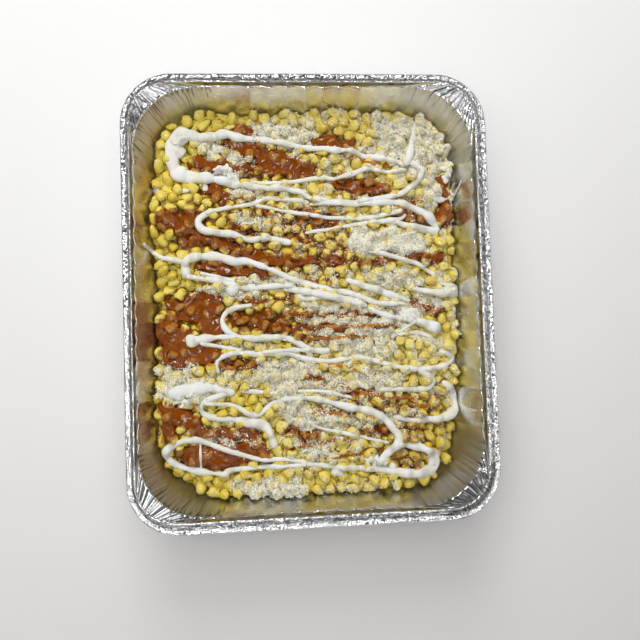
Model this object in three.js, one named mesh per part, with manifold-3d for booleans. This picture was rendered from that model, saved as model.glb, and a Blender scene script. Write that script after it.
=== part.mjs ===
// Street corn served in a half-size foil steam-table pan: loose cooked kernels heaped in the pan,
// with ribbons of crema drizzled over them. Two solids: the pan, and the heap that fills it.
// Millimetres, +Z up, +Y along the pan. The origin is under the middle of the pan's flat base.

import * as THREE from 'three';
import { mergeVertices } from 'three/addons/utils/BufferGeometryUtils.js';
import Module from 'manifold-3d';

const wasm = await Module();
wasm.setup();

// ---------------------------------------------------------------------------------------------
// Driving dimensions
// ---------------------------------------------------------------------------------------------

// A rounded rectangle is { x, y, corner }: half its width, half its length and its corner radius.
const PAN_DEPTH = 65; // floor to the highest line of the rim
const FOIL = 0.7; // wall, thicker than real foil so that it stands as a solid
const RIM_EDGE = { x: 132, y: 162, corner: 37 }; // outside of the rolled bead
const BEAD = 2.8; // height and width of the rolled bead
const FLANGE = 9; // from the bead's outside to the flange's inner line
const FLANGE_FALL = 1.6; // the flange slopes outwards by this much
const WALL_TOP = { x: 120.5, y: 150.5, corner: 44 }; // inside of the wall, under the rim's step
const STEP_DROP = 5.5; // from the flange's inner line down to the wall
const WALL_FOOT = { x: 104.3, y: 134.3, corner: 33 }; // inside of the wall, above the base's edge
const FOOT_HEIGHT = 4.5; // height of that rounded edge
const FLOOR = { x: 99, y: 129, corner: 29 }; // flat floor

const PLEATS_PER_CORNER = 8;
const PLEAT_DEPTH = 0.8;
const FLUTE_PITCH = 17;
const FLUTE_DEPTH = 0.5;
const FLUTED_HALF = { x: 52, y: 105 }; // half the fluted stretch of a short and of a long side

const HEAP_GAP = 0.35; // clear air between heap and pan, past the deepest pleat
const HEAP_FLOOR = FOIL + 0.3;
const HEAP_EDGE = 38.5; // height of the heap's bare core where it meets the wall
const HEAP_RISE = 6; // how much higher its middle lies
const HEAP_SIDES = { corner: 4, x: 3, y: 5 }; // steps round a corner and along each side
const HEAP_TERRACES = [0.8, 0.45];

const KERNEL = { length: 8.8, width: 7.8, thickness: 6.6 };
const KERNEL_TAPER = 0.22; // a kernel narrows towards its tip
const KERNEL_LEAN = 0.4; // rise of a leaning kernel's top, per mm across it
const KERNEL_PITCH = 12.7;
const KERNEL_RISE = 1.1; // height of a kernel's middle over the core

const CREMA_HEIGHT = 2.1; // half the height of a ribbon of crema
const CREMA_LIFT = 0.8; // height of a ribbon's middle over the core
// A ribbon's section, in widths and half heights: upright flanks under a rounded back.
const CREMA_SECTION = [[0.5, 0.2], [0, 1], [-0.5, 0.2], [-0.5, -1], [0.5, -1]];
const CREMA_STEP = 25; // longest straight step of a ribbon
const CREMA_BEND = 0.75; // sharpest bend at a step, in radians

// Broad swells and dips of the heap: middle x, y, radius, height.
const SWELLS = [
  [58, 40, 34, 2.6],
  [-20, 122, 34, 1.2],
  [-92, -16, 28, -2.6],
  [-62, -112, 26, -2.2],
  [30, -70, 36, 1.4],
  [-95, 60, 26, 1.8],
  [88, -112, 24, -1.6],
];

// Beds of sauce and of grated cheese, where few kernels stand out: two ends and half a width.
const COVERED = [
  [-55, 117, 1, 95, 7],
  [-86, 103, -45, 100, 7],
  [6, 118, 60, 114, 6],
  [22, 81, 60, 82, 5],
  [-82, 26, -31, 20, 4],
  [-100, 0, -71, -2, 8],
  [-102, -20, -78, -17, 12],
  [-105, -35, -92, -40, 9],
  [-103, -79, -86, -88, 9],
  [-82, -94, -42, -95, 5],
  [-94, -111, -32, -112, 8],
  [-63, 60, -11, 58, 6],
  [34, 41, 83, 40, 9],
  [5, -14, 61, -19, 8],
];

// The thick ribbons of crema: width in mm at the start, middle and end, then the points that
// they pass. Threads under 3 mm wide are too fine to be solid.
const RIBBONS = [
  {
    wide: [3.7, 4.4, 3.7],
    path: [
      [77, 102], [55, 105], [33, 110], [18, 111], [-8, 115], [-30, 119], [-50, 121], [-58, 125],
      [-78, 124], [-93, 126], [-100, 119], [-101, 110], [-99, 99], [-90, 93], [-68, 90],
      [-39, 84], [-8, 81], [3, 75], [20, 72], [54, 74], [72, 80], [85, 94], [83, 109],
    ],
  },
  { wide: [2.9, 3.2, 2.4], path: [[76, 97], [63, 95], [44, 96], [23, 90], [10, 91], [-17, 87], [-42, 88]] },
  {
    wide: [3.7, 3.7, 5.1],
    path: [
      [1, 72], [-28, 76], [-39, 72], [-68, 67], [-80, 60], [-76, 52], [-56, 49], [-43, 45], [-32, 46],
      [-13, 42],
    ],
  },
  { wide: [3.7, 2.9, 2.4], path: [[73, 62], [67, 58], [46, 56], [23, 53], [-3, 49]] },
  { wide: [2.9, 3.7, 3.7], path: [[1, 71], [39, 70], [65, 71], [88, 63], [98, 51], [80, 52], [65, 56]] },
  { wide: [2.4, 3.2, 4.4], path: [[-109, 34], [-99, 31], [-89, 30]] },
  {
    wide: [6.6, 4.4, 3.7],
    path: [
      [-90, 17], [-89, 31], [-69, 33], [-55, 29], [-46, 29], [-26, 21], [-11, 14], [14, 7], [29, 4],
      [51, -4], [70, -5],
    ],
  },
  { wide: [4.4, 3.7, 2.9], path: [[-90, 19], [-70, 16], [-47, 10], [-15, 10], [-6, 1], [21, 1], [36, -2]] },
  { wide: [3.7, 5.9, 3.7], path: [[26, 14], [51, 5], [75, -3]] },
  { wide: [2.4, 3.7, 2.9], path: [[37, 36], [60, 31], [73, 27], [81, 25], [96, 15]] },
  { wide: [2.9, 5.1, 2.9], path: [[76, 6], [104, 2], [111, 5], [98, 11]] },
  { wide: [3.7, 5.1, 8.8], path: [[42, -8], [58, -14], [79, -18], [98, -26]] },
  {
    wide: [2.9, 3.7, 3.7],
    path: [[-43, -3], [-59, -6], [-65, -13], [-61, -22], [-48, -27], [-19, -28], [-1, -37], [13, -38]],
  },
  { wide: [8.8, 4.4, 2.9], path: [[-86, -28], [-70, -26], [-55, -26]] },
  {
    wide: [2.9, 4.4, 2.9],
    path: [
      [-69, -52], [-69, -43], [-58, -38], [-38, -39], [-19, -39], [-7, -43], [12, -46], [35, -44],
      [64, -52], [87, -54], [103, -51], [107, -46], [96, -41],
    ],
  },
  { wide: [3.7, 3.7, 2.9], path: [[78, -54], [90, -63], [83, -69], [60, -68], [47, -68]] },
  { wide: [3.7, 6.6, 2.9], path: [[97, -65], [106, -73], [106, -86], [99, -92], [74, -92], [58, -88]] },
  { wide: [6.6, 6.6, 3.7], path: [[-57, -67], [-75, -62], [-97, -64]] },
  { wide: [4.4, 4.4, 6.6], path: [[-62, -66], [-80, -73], [-78, -82], [-54, -87], [-36, -92], [-29, -108]] },
  {
    wide: [2.9, 5.1, 5.9],
    path: [
      [-80, -73], [-58, -76], [-42, -83], [-25, -73], [1, -73], [22, -79], [42, -84], [55, -93],
      [62, -106], [50, -119], [47, -124],
    ],
  },
  {
    wide: [2.9, 3.7, 2.9],
    path: [
      [-3, -120], [-23, -116], [-42, -115], [-66, -107], [-87, -99], [-101, -102], [-108, -109],
      [-98, -119], [-68, -125], [-62, -123], [-30, -121], [-7, -121],
    ],
  },
  {
    wide: [3.7, 4.4, 3.7],
    path: [[-7, -120], [19, -124], [47, -127], [77, -132], [91, -129], [90, -120], [80, -113], [61, -109]],
  },
];

// Dabs of crema: middle x, y, length, width and the direction of the length in degrees.
const DABS = [
  [-91, 82, 10, 4, 0],
  [-60, 96, 9, 5, 0],
  [-49, 91, 10, 6, -20],
  [-57, 8, 9, 8, 0],
  [73, -12, 14, 9, 10],
  [16, -127, 9, 8, 0],
  [42, -120, 7, 5, 0],
  [107, 97, 5, 10, 0],
  [101, 74, 5, 9, 0],
  [-32, 46, 7, 7, 0],
];

// ---------------------------------------------------------------------------------------------
// Helpers
// ---------------------------------------------------------------------------------------------

// A repeatable stream of numbers from 0 to 1.
function randomStream(seed) {
  let state = seed;
  return () => {
    state = (state * 1664525 + 1013904223) % 4294967296;
    return state / 4294967296;
  };
}

// The closed surface through rings of equal length, from one end point to the other. Each ring
// runs the right-handed way round the direction of travel.
function loft(start, rings, end) {
  const count = rings[0].length;
  const positions = [start, ...rings.flat(), end].flatMap((p) => [p.x, p.y, p.z]);
  const last = count * rings.length + 1;
  const at = (ring, i) => 1 + ring * count + (i % count);
  const faces = [];
  for (let i = 0; i < count; i += 1) {
    faces.push(0, at(0, i + 1), at(0, i));
    for (let ring = 0; ring + 1 < rings.length; ring += 1) {
      const a = at(ring, i);
      const b = at(ring, i + 1);
      const c = at(ring + 1, i + 1);
      const d = at(ring + 1, i);
      faces.push(a, b, c, a, c, d);
    }
    faces.push(at(rings.length - 1, i), at(rings.length - 1, i + 1), last);
  }
  const geometry = new THREE.BufferGeometry();
  geometry.setAttribute('position', new THREE.Float32BufferAttribute(positions, 3));
  geometry.setIndex(faces);
  return geometry;
}

function toManifold(geometry) {
  return new wasm.Manifold(new wasm.Mesh({
    numProp: 3,
    vertProperties: new Float32Array(geometry.attributes.position.array),
    triVerts: new Uint32Array(geometry.index.array),
  }));
}

function toGeometry(manifold) {
  const { vertProperties, triVerts } = manifold.getMesh();
  const geometry = new THREE.BufferGeometry();
  geometry.setAttribute('position', new THREE.BufferAttribute(vertProperties, 3));
  geometry.setIndex(new THREE.BufferAttribute(triVerts, 1));
  return geometry;
}

// A rounded rectangle grown (or, below zero, shrunk) by the same distance all round.
function grown(shape, by) {
  return { x: shape.x + by, y: shape.y + by, corner: shape.corner + by };
}

// The rounded rectangle part of the way from one to another.
function between(from, to, share) {
  const mix = (key) => THREE.MathUtils.lerp(from[key], to[key], share);
  return { x: mix('x'), y: mix('y'), corner: mix('corner') };
}

// The point of a rounded rectangle at a station, pushed outwards. A station is on a corner, with
// its angle, or on a side, with its place from -1 to 1 along the straight.
function stationPoint(station, shape, z, push = 0) {
  const quarter = (station.quarter * Math.PI) / 2;
  const straight = new THREE.Vector2(shape.x - shape.corner, shape.y - shape.corner);
  if (station.angle !== undefined) {
    const turn = quarter + station.angle;
    const sideX = Math.sign(Math.cos(quarter + Math.PI / 4));
    const sideY = Math.sign(Math.sin(quarter + Math.PI / 4));
    const reach = shape.corner + push;
    return new THREE.Vector3(
      sideX * straight.x + reach * Math.cos(turn),
      sideY * straight.y + reach * Math.sin(turn),
      z,
    );
  }
  const onLongSide = station.quarter % 2 === 0;
  const out = (onLongSide ? shape.x : shape.y) + push;
  const along = station.place * (onLongSide ? straight.y : straight.x);
  return new THREE.Vector3(out, along, z).applyAxisAngle(new THREE.Vector3(0, 0, 1), quarter);
}

// How far inside a rounded rectangle a point lies; below zero it is outside.
function depthInside(shape, x, y) {
  const overX = Math.abs(x) - (shape.x - shape.corner);
  const overY = Math.abs(y) - (shape.y - shape.corner);
  const beyond = Math.hypot(Math.max(overX, 0), Math.max(overY, 0));
  return shape.corner - (beyond > 0 ? beyond : Math.max(overX, overY));
}

// How far a point is from a straight bed { ends, half width }; below zero it is on the bed.
function distanceFromBed([x1, y1, x2, y2, halfWidth], x, y) {
  const from = new THREE.Vector3(x1, y1, 0);
  const bed = new THREE.Line3(from, new THREE.Vector3(x2, y2, 0));
  const point = new THREE.Vector3(x, y, 0);
  return bed.closestPointToPoint(point, true, new THREE.Vector3()).distanceTo(point) - halfWidth;
}

// ---------------------------------------------------------------------------------------------
// The foil pan
// ---------------------------------------------------------------------------------------------

// Stations once round the pan: pleats fanned round each corner, and flutes along the middle of
// each side. relief swings between -1 and 1 from fold to fold.
function panStations() {
  const stations = [];
  for (let quarter = 0; quarter < 4; quarter += 1) {
    const onLongSide = quarter % 2 === 0;
    const fluted = onLongSide ? FLUTED_HALF.y : FLUTED_HALF.x;
    const straight = (onLongSide ? WALL_TOP.y : WALL_TOP.x) - WALL_TOP.corner;
    const flutes = Math.round((2 * fluted) / FLUTE_PITCH);
    for (let i = 0; i <= 2 * flutes; i += 1) {
      const place = (fluted / straight) * (i / flutes - 1);
      stations.push({ quarter, place, relief: FLUTE_DEPTH * (i % 2 === 0 ? 0 : -1) });
    }
    for (let i = 0; i <= 2 * PLEATS_PER_CORNER; i += 1) {
      const angle = (i / (2 * PLEATS_PER_CORNER)) * (Math.PI / 2);
      stations.push({ quarter, angle, relief: PLEAT_DEPTH * (i % 2 === 0 ? 0 : -1) });
    }
  }
  return stations;
}

// The pan's skin as one loft: out along the base, up the outside, round the bead, in over the
// flange and the step, and down the inside to the floor. folds is the share of the relief.
function foilPan() {
  const bead = grown(RIM_EDGE, -BEAD / 2);
  const flangeLine = grown(RIM_EDGE, -FLANGE);
  const beadTop = PAN_DEPTH - FLANGE_FALL;
  const wallTop = PAN_DEPTH - STEP_DROP;
  const profile = [
    { shape: FLOOR, z: 0, folds: 0 },
    { shape: grown(WALL_FOOT, FOIL), z: FOOT_HEIGHT - FOIL / 2, folds: 0.5 },
    { shape: grown(WALL_TOP, FOIL), z: wallTop - FOIL / 2, folds: 1 },
    { shape: grown(flangeLine, FOIL), z: PAN_DEPTH - FOIL, folds: 0.25 },
    { shape: bead, z: beadTop - BEAD, folds: 0 },
    { shape: RIM_EDGE, z: beadTop - BEAD / 2, folds: 0 },
    { shape: bead, z: beadTop, folds: 0 },
    { shape: flangeLine, z: PAN_DEPTH, folds: 0.25 },
    { shape: WALL_TOP, z: wallTop, folds: 1 },
    { shape: WALL_FOOT, z: FOOT_HEIGHT, folds: 0.5 },
    { shape: FLOOR, z: FOIL, folds: 0 },
  ];
  const stations = panStations();
  const rings = profile.map(({ shape, z, folds }) => (
    stations.map((station) => stationPoint(station, shape, z, station.relief * folds))
  ));
  return loft(new THREE.Vector3(0, 0, 0), rings, new THREE.Vector3(0, 0, FOIL));
}

// ---------------------------------------------------------------------------------------------
// The heap of corn
// ---------------------------------------------------------------------------------------------

// The inside of the pan's wall at a height.
function wallAt(z) {
  const share = (z - FOOT_HEIGHT) / (PAN_DEPTH - STEP_DROP - FOOT_HEIGHT);
  return between(WALL_FOOT, WALL_TOP, share);
}

// Height planned for the heap's bare core: a low dome with broad swells and a gentle unevenness.
function heapHeight(x, y) {
  const edge = wallAt(HEAP_EDGE);
  const dome = HEAP_RISE * (1 - (x / edge.x) ** 4) * (1 - (y / edge.y) ** 4);
  const uneven = 0.8 * Math.sin(x / 17 + 1.1) * Math.cos(y / 21 - 0.4)
    + 0.5 * Math.sin(x / 9 + y / 12 + 2);
  let swell = 0;
  for (const [middleX, middleY, radius, height] of SWELLS) {
    swell += height * Math.exp(-(((x - middleX) ** 2 + (y - middleY) ** 2) / radius ** 2));
  }
  return HEAP_EDGE + dome + uneven + swell;
}

// The core fills the pan from just over its floor, clear of every pleat.
function heapCore() {
  const clear = -(PLEAT_DEPTH + HEAP_GAP);
  const stations = [];
  for (let quarter = 0; quarter < 4; quarter += 1) {
    const steps = quarter % 2 === 0 ? HEAP_SIDES.y : HEAP_SIDES.x;
    for (let i = 1; i < steps; i += 1) {
      stations.push({ quarter, place: (2 * i) / steps - 1 });
    }
    for (let i = 0; i <= HEAP_SIDES.corner; i += 1) {
      stations.push({ quarter, angle: (i / HEAP_SIDES.corner) * (Math.PI / 2) });
    }
  }
  const sides = [
    stations.map((station) => stationPoint(station, grown(FLOOR, clear), HEAP_FLOOR)),
    stations.map((station) => stationPoint(station, grown(wallAt(FOOT_HEIGHT), clear), FOOT_HEIGHT + 0.6)),
  ];
  const brim = stations.map((station) => {
    const rough = stationPoint(station, grown(wallAt(HEAP_EDGE), clear), 0);
    const z = heapHeight(rough.x, rough.y);
    return stationPoint(station, grown(wallAt(z), clear), z);
  });
  const terraces = HEAP_TERRACES.map((share) => brim.map((point) => {
    const x = point.x * share;
    const y = point.y * share;
    return new THREE.Vector3(x, y, heapHeight(x, y));
  }));
  const top = new THREE.Vector3(0, 0, heapHeight(0, 0));
  return loft(new THREE.Vector3(0, 0, HEAP_FLOOR), [...sides, brim, ...terraces], top);
}

// A rounded lump with few upright sides, narrower towards +Y.
function lump(length, width, thickness, taper) {
  const sides = 5;
  const geometry = new THREE.SphereGeometry(1, sides, 3);
  geometry.deleteAttribute('normal');
  geometry.deleteAttribute('uv');
  geometry.rotateX(Math.PI / 2);
  const position = geometry.attributes.position;
  for (let i = 0; i < position.count; i += 1) {
    const y = position.getY(i);
    position.setX(i, position.getX(i) * (1 - taper * y));
  }
  const girth = 2 * Math.sin(Math.PI / 3);
  geometry.scale(width / girth, length / girth, thickness / 2);
  return mergeVertices(geometry);
}

// A look-up of the height of a surface, from straight above it.
function surfaceHeight(geometry) {
  const surface = new THREE.Mesh(geometry);
  const down = new THREE.Vector3(0, 0, -1);
  return (x, y) => {
    const ray = new THREE.Raycaster(new THREE.Vector3(x, y, 2 * PAN_DEPTH), down);
    return ray.intersectObject(surface)[0].point.z;
  };
}

// Where a ribbon's middle line runs, and how wide it is there. It takes a new step where it has
// bent or run far enough since the last one.
function ribbonLine({ wide, path }) {
  const curve = new THREE.CatmullRomCurve3(path.map(([x, y]) => new THREE.Vector3(x, y, 0)));
  const length = curve.getLength();
  const count = Math.ceil(length);
  const line = [];
  let lastPlace = 0;
  let lastAhead = curve.getTangentAt(0);
  for (let i = 0; i <= count; i += 1) {
    const share = i / count;
    const ahead = curve.getTangentAt(share);
    const run = (share - lastPlace) * length;
    const nearEnd = (1 - share) * length < CREMA_STEP / 4;
    const due = run > CREMA_STEP || ahead.angleTo(lastAhead) > CREMA_BEND;
    if (i === 0 || i === count || (due && !nearEnd)) {
      const { x, y } = curve.getPointAt(share);
      const width = share < 0.5
        ? THREE.MathUtils.lerp(wide[0], wide[1], 2 * share)
        : THREE.MathUtils.lerp(wide[1], wide[2], 2 * share - 1);
      line.push({ x, y, width });
      lastPlace = share;
      lastAhead = ahead;
    }
  }
  return line;
}

// A ribbon of crema: a low rounded bar that follows the heap, drawn to a point at both ends.
function ribbonSolid(line, height) {
  const middles = line.map(({ x, y }) => new THREE.Vector3(x, y, height(x, y) + CREMA_LIFT));
  const rings = middles.map((middle, i) => {
    const before = middles[Math.max(i - 1, 0)];
    const after = middles[Math.min(i + 1, middles.length - 1)];
    const ahead = after.clone().sub(before).setZ(0).normalize();
    const left = new THREE.Vector3(-ahead.y, ahead.x, 0);
    return CREMA_SECTION.map(([across, up]) => middle.clone()
      .addScaledVector(left, across * line[i].width)
      .add(new THREE.Vector3(0, 0, up * CREMA_HEIGHT)));
  });
  const reach = (end, inner) => end.clone().addScaledVector(end.clone().sub(inner).normalize(), 1.5);
  const start = reach(middles[0], middles[1]);
  const end = reach(middles[middles.length - 1], middles[middles.length - 2]);
  return loft(start, rings, end);
}

// Kernels stand out of the core in staggered rows, shifted and turned at random, wherever
// neither crema nor a bed of sauce or cheese covers them.
function kernelSolids(ribbons, height) {
  const random = randomStream(20261124);
  const spread = (amount) => (random() * 2 - 1) * amount;
  const room = grown(wallAt(HEAP_EDGE), -(PLEAT_DEPTH + HEAP_GAP) - KERNEL.length / 2 - 0.6);
  const solids = [];
  const rowPitch = KERNEL_PITCH * Math.sqrt(3 / 4);
  const rows = Math.floor(room.y / rowPitch);
  const columns = Math.ceil(room.x / KERNEL_PITCH);
  for (let row = -rows; row <= rows; row += 1) {
    for (let column = -columns; column <= columns; column += 1) {
      const stagger = row % 2 === 0 ? 0 : 0.5;
      const x = (column + stagger) * KERNEL_PITCH + spread(0.2 * KERNEL_PITCH);
      const y = row * rowPitch + spread(0.2 * KERNEL_PITCH);
      const size = 1 + spread(0.12);
      const turn = random() * 2 * Math.PI;
      const lean = new THREE.Matrix4().makeShear(0, spread(KERNEL_LEAN), 0, spread(KERNEL_LEAN), 0, 0);
      const underCrema = ribbons.some((line) => line.some((step, i) => {
        const next = line[i + 1] ?? step;
        return distanceFromBed([step.x, step.y, next.x, next.y, step.width / 2 + 2.2], x, y) < 0;
      }));
      const underBed = COVERED.some((bed) => distanceFromBed(bed, x, y) < 0);
      if (depthInside(room, x, y) > 0 && !underCrema && !underBed) {
        const kernel = lump(KERNEL.length, KERNEL.width, KERNEL.thickness, KERNEL_TAPER);
        kernel.scale(size, size, size);
        kernel.rotateZ(turn);
        kernel.applyMatrix4(lean);
        kernel.translate(x, y, height(x, y) + KERNEL_RISE);
        solids.push(kernel);
      }
    }
  }
  return solids;
}

function dabSolid([x, y, length, width, degrees], height) {
  const dab = lump(length, width, 2 * CREMA_HEIGHT + 1, 0);
  dab.rotateZ(THREE.MathUtils.degToRad(degrees - 90));
  dab.translate(x, y, height(x, y) + CREMA_LIFT);
  return dab;
}

// Everything in the heap is fused into one body. Where fusing seals a pocket, the pocket is
// filled, and a scrap that hangs on nothing is dropped.
function cornHeap() {
  const core = heapCore();
  const height = surfaceHeight(core);
  const ribbons = RIBBONS.map(ribbonLine);
  const pieces = [
    core,
    ...kernelSolids(ribbons, height),
    ...ribbons.map((line) => ribbonSolid(line, height)),
    ...DABS.map((dab) => dabSolid(dab, height)),
  ];
  const fused = wasm.Manifold.union(pieces.map(toManifold));
  const bodies = fused.decompose();
  return toGeometry(bodies.reduce((best, body) => (body.volume() > best.volume() ? body : best)));
}

// ---------------------------------------------------------------------------------------------
// The model
// ---------------------------------------------------------------------------------------------

const foil = new THREE.MeshStandardMaterial({ color: 0xc9c9cb, roughness: 0.34, metalness: 1 });
const corn = new THREE.MeshStandardMaterial({ color: 0xd9b233, roughness: 0.4, metalness: 0 });

const pan = new THREE.Mesh(foilPan(), foil);
pan.name = 'foil_pan';

const heap = new THREE.Mesh(cornHeap(), corn);
heap.name = 'corn_heap';

const model = new THREE.Group();
model.add(pan, heap);

export default model;
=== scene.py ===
# %% [markdown]
# # Street corn in a foil pan
# This lesson dresses a plain CAD model of a foil steam-table pan full of loose corn. The CAD
# part gives two solids, `foil_pan` and `corn_heap`. We replace both with surfaces that are
# worked out with numpy: crinkled foil, well over a thousand separate kernels, glossy chili
# sauce, ribbons of crema and grated cheese. Everything is computed in millimetres and written to
# the meshes in metres, in the CAD part's own frame, so nothing has to be fitted afterwards.

# %% Load the fixed frame
import math

import bpy
import numpy as np
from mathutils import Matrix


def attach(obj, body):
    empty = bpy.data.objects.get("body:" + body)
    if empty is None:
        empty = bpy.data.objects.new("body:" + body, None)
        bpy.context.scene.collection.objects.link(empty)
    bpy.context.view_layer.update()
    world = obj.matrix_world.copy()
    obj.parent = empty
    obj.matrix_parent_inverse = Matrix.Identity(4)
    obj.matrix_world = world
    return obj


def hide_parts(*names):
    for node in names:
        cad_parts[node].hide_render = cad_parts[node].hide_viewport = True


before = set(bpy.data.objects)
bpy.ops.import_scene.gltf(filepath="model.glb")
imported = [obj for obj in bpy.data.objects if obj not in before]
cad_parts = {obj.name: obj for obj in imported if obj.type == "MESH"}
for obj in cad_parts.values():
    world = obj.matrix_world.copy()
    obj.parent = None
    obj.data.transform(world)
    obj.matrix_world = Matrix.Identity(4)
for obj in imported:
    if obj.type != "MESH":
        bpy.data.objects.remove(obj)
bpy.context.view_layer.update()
MM = 0.001

# %% [markdown]
# ## The camera
# The pan is seen from almost straight above, by a camera a little left of its middle and
# towards its near end. A wide lens this close makes the far rim look smaller than the near
# one, which no crop or shift could imitate, so the camera stands at its real distance.

# %% Camera
CAMERA_PLACE = (-31.4 * MM, -35.1 * MM, 500.8 * MM)
CAMERA_TURN = [math.radians(angle) for angle in (2.62, -4.65, -1.86)]
CAMERA_LENS = 34.875

scene = bpy.context.scene
scene.view_settings.view_transform = "Standard"
camera_data = bpy.data.cameras.new("camera")
camera_data.lens = CAMERA_LENS
camera_data.sensor_width = 36
camera_data.clip_start = 0.01
camera = bpy.data.objects.new("camera", camera_data)
camera.location = CAMERA_PLACE
camera.rotation_euler = CAMERA_TURN
scene.collection.objects.link(camera)
scene.camera = camera
print(f"camera: {CAMERA_LENS} mm lens, {CAMERA_PLACE[2] / MM:.0f} mm over the floor")

# %% [markdown]
# ## Small helpers
# Every new piece is a surface on a grid of two parameters. `mesh_object` takes the finished
# array of points with its faces, and `closed_faces` shuts a tube of rings with a fan at either
# end, so nothing has to be added by hand.

# %% Mesh helpers
def mesh_object(name, points, faces, smooth=True):
    """A mesh object from an array of points in mm and a list of arrays of faces."""
    mesh = bpy.data.meshes.new(name)
    sizes = np.concatenate([np.full(len(part), part.shape[1]) for part in faces])
    corners = np.concatenate([part.ravel() for part in faces])
    mesh.vertices.add(len(points))
    mesh.vertices.foreach_set("co", (points * MM).astype(np.float32).ravel())
    mesh.loops.add(len(corners))
    mesh.loops.foreach_set("vertex_index", corners.astype(np.int32))
    mesh.polygons.add(len(sizes))
    mesh.polygons.foreach_set("loop_start", (np.cumsum(sizes) - sizes).astype(np.int32))
    mesh.polygons.foreach_set("use_smooth", np.full(len(sizes), smooth))
    mesh.update(calc_edges=True)
    piece = bpy.data.objects.new(name, mesh)
    scene.collection.objects.link(piece)
    triangles = int((sizes - 2).sum())
    print(f"{name}: {len(points)} points, {triangles} triangles")
    return piece


def band_faces(rows, columns, around):
    """Quads of a grid of rows by columns. With around, the last column joins the first."""
    stations = np.arange(columns if around else columns - 1)
    row, column = np.meshgrid(np.arange(rows - 1), stations, indexing="ij")
    ahead = (column + 1) % columns
    quads = np.stack([row * columns + column, row * columns + ahead,
                      (row + 1) * columns + ahead, (row + 1) * columns + column], axis=-1)
    return quads.reshape(-1, 4)


def closed_faces(rows, columns):
    """Quads of a grid that joins round, and a fan of triangles from each of its two ends to a
    pole. The poles are the two points that follow the grid's own."""
    column = np.arange(columns)
    ahead = (column + 1) % columns
    last = (rows - 1) * columns
    pole = np.full(columns, rows * columns)
    first_fan = np.stack([ahead, column, pole], axis=-1)
    last_fan = np.stack([last + column, last + ahead, pole + 1], axis=-1)
    return [band_faces(rows, columns, True), np.concatenate([first_fan, last_fan])]


def outwards(points, faces):
    """The faces, turned over if they enclose a volume below zero. The volume is the sum over
    all triangles of a corner's dot product with the cross product of the other two."""
    volume = 0.0
    for part in faces:
        for k in range(1, part.shape[1] - 1):
            first, second, third = points[part[:, 0]], points[part[:, k]], points[part[:, k + 1]]
            volume += np.einsum("ij,ij->", first, np.cross(second, third))
    return faces if volume > 0 else [part[:, ::-1] for part in faces]


def point_values(piece, name, values):
    """A number for each point, for the materials to read."""
    attribute = piece.data.attributes.new(name, "FLOAT", "POINT")
    attribute.data.foreach_set("value", np.asarray(values, dtype=np.float32).ravel())


# %% [markdown]
# Two functions give nearly all of the unevenness and the soft edges that follow: a noise made of
# waves, and a step from 0 to 1 in the form of an S.

# %% Number helpers
def waves(x, y, size, seed, count=7):
    """Smooth noise, mostly between -1 and 1: the sum of plane waves with random headings, each
    about size mm long, over the root of their number."""
    draw = np.random.default_rng(seed)
    total = np.zeros(np.broadcast(x, y).shape)
    for _ in range(count):
        heading, phase = draw.uniform(0, 2 * np.pi, 2)
        number = 2 * np.pi / (size * draw.uniform(0.7, 1.5))
        total += np.sin(number * (np.cos(heading) * x + np.sin(heading) * y) + phase)
    return total / math.sqrt(count)


def smooth_step(low, high, value):
    """0 up to low, 1 from high on and a smooth S between. With low above high it falls."""
    share = np.clip((value - low) / (high - low), 0, 1)
    return share * share * (3 - 2 * share)


tested = waves(np.linspace(0, 500, 1001), 0.0, 10, 1)
print(f"waves 10 mm long run from {tested.min():.1f} to {tested.max():.1f}")

# %% [markdown]
# ## Materials as small node trees
# A finish is a Principled shader whose colour and bump come from nodes. The helpers below
# only save typing: each adds one node, sets its sockets and returns its output. Patterns read
# Object coordinates, which are metres in the part's own frame, or numbers stored at the points.

# %% Finish helpers
def new_finish(name, **sockets):
    """A node material with the given values on its Principled shader."""
    finish = bpy.data.materials.new(name)
    finish.use_nodes = True
    shader = finish.node_tree.nodes["Principled BSDF"]
    for socket, value in sockets.items():
        shader.inputs[socket.replace("_", " ")].default_value = value
    print(f"finish: {name}")
    return finish, finish.node_tree, shader


def let_light_in(shader, weight, depths_mm, scale):
    """Scattering under the surface: its share, and how deep red, green and blue light go."""
    shader.inputs["Subsurface Weight"].default_value = weight
    shader.inputs["Subsurface Radius"].default_value = [depth * MM for depth in depths_mm]
    shader.inputs["Subsurface Scale"].default_value = scale


def add_node(tree, kind, inputs=None, **settings):
    """A node of a kind, with its settings and the values or links of its inputs."""
    node = tree.nodes.new(kind)
    for key, value in settings.items():
        setattr(node, key, value)
    for key, value in (inputs or {}).items():
        if isinstance(value, bpy.types.NodeSocket):
            tree.links.new(value, node.inputs[key])
        else:
            node.inputs[key].default_value = value
    return node


# %% [markdown]
# The next helpers give a pattern's place and its noise, sums and products, a range mapped to
# another, a mix of two colours, and the bumps.

# %% Pattern helpers
def place_of(tree):
    """Object coordinates: metres in the part's own frame."""
    return add_node(tree, "ShaderNodeTexCoord").outputs["Object"]


def noise_of(tree, size_mm, detail=3.0, roughness=0.55, distortion=0.0, place=None):
    """Noise with grains about size_mm across, from 0 to 1."""
    inputs = {"Vector": place or place_of(tree), "Scale": 1 / (size_mm * MM), "Detail": detail,
              "Roughness": roughness, "Distortion": distortion}
    return add_node(tree, "ShaderNodeTexNoise", inputs).outputs["Fac"]


def value_of(tree, name):
    """The number that point_values stored."""
    return add_node(tree, "ShaderNodeAttribute", attribute_name=name).outputs["Fac"]


def math_of(tree, operation, a, b):
    """One sum, product or other operation of two numbers."""
    return add_node(tree, "ShaderNodeMath", {0: a, 1: b}, operation=operation).outputs[0]


def plus(tree, a, b):
    """The sum of two numbers."""
    return math_of(tree, "ADD", a, b)


def times(tree, a, b):
    """The product of two numbers."""
    return math_of(tree, "MULTIPLY", a, b)


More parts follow.
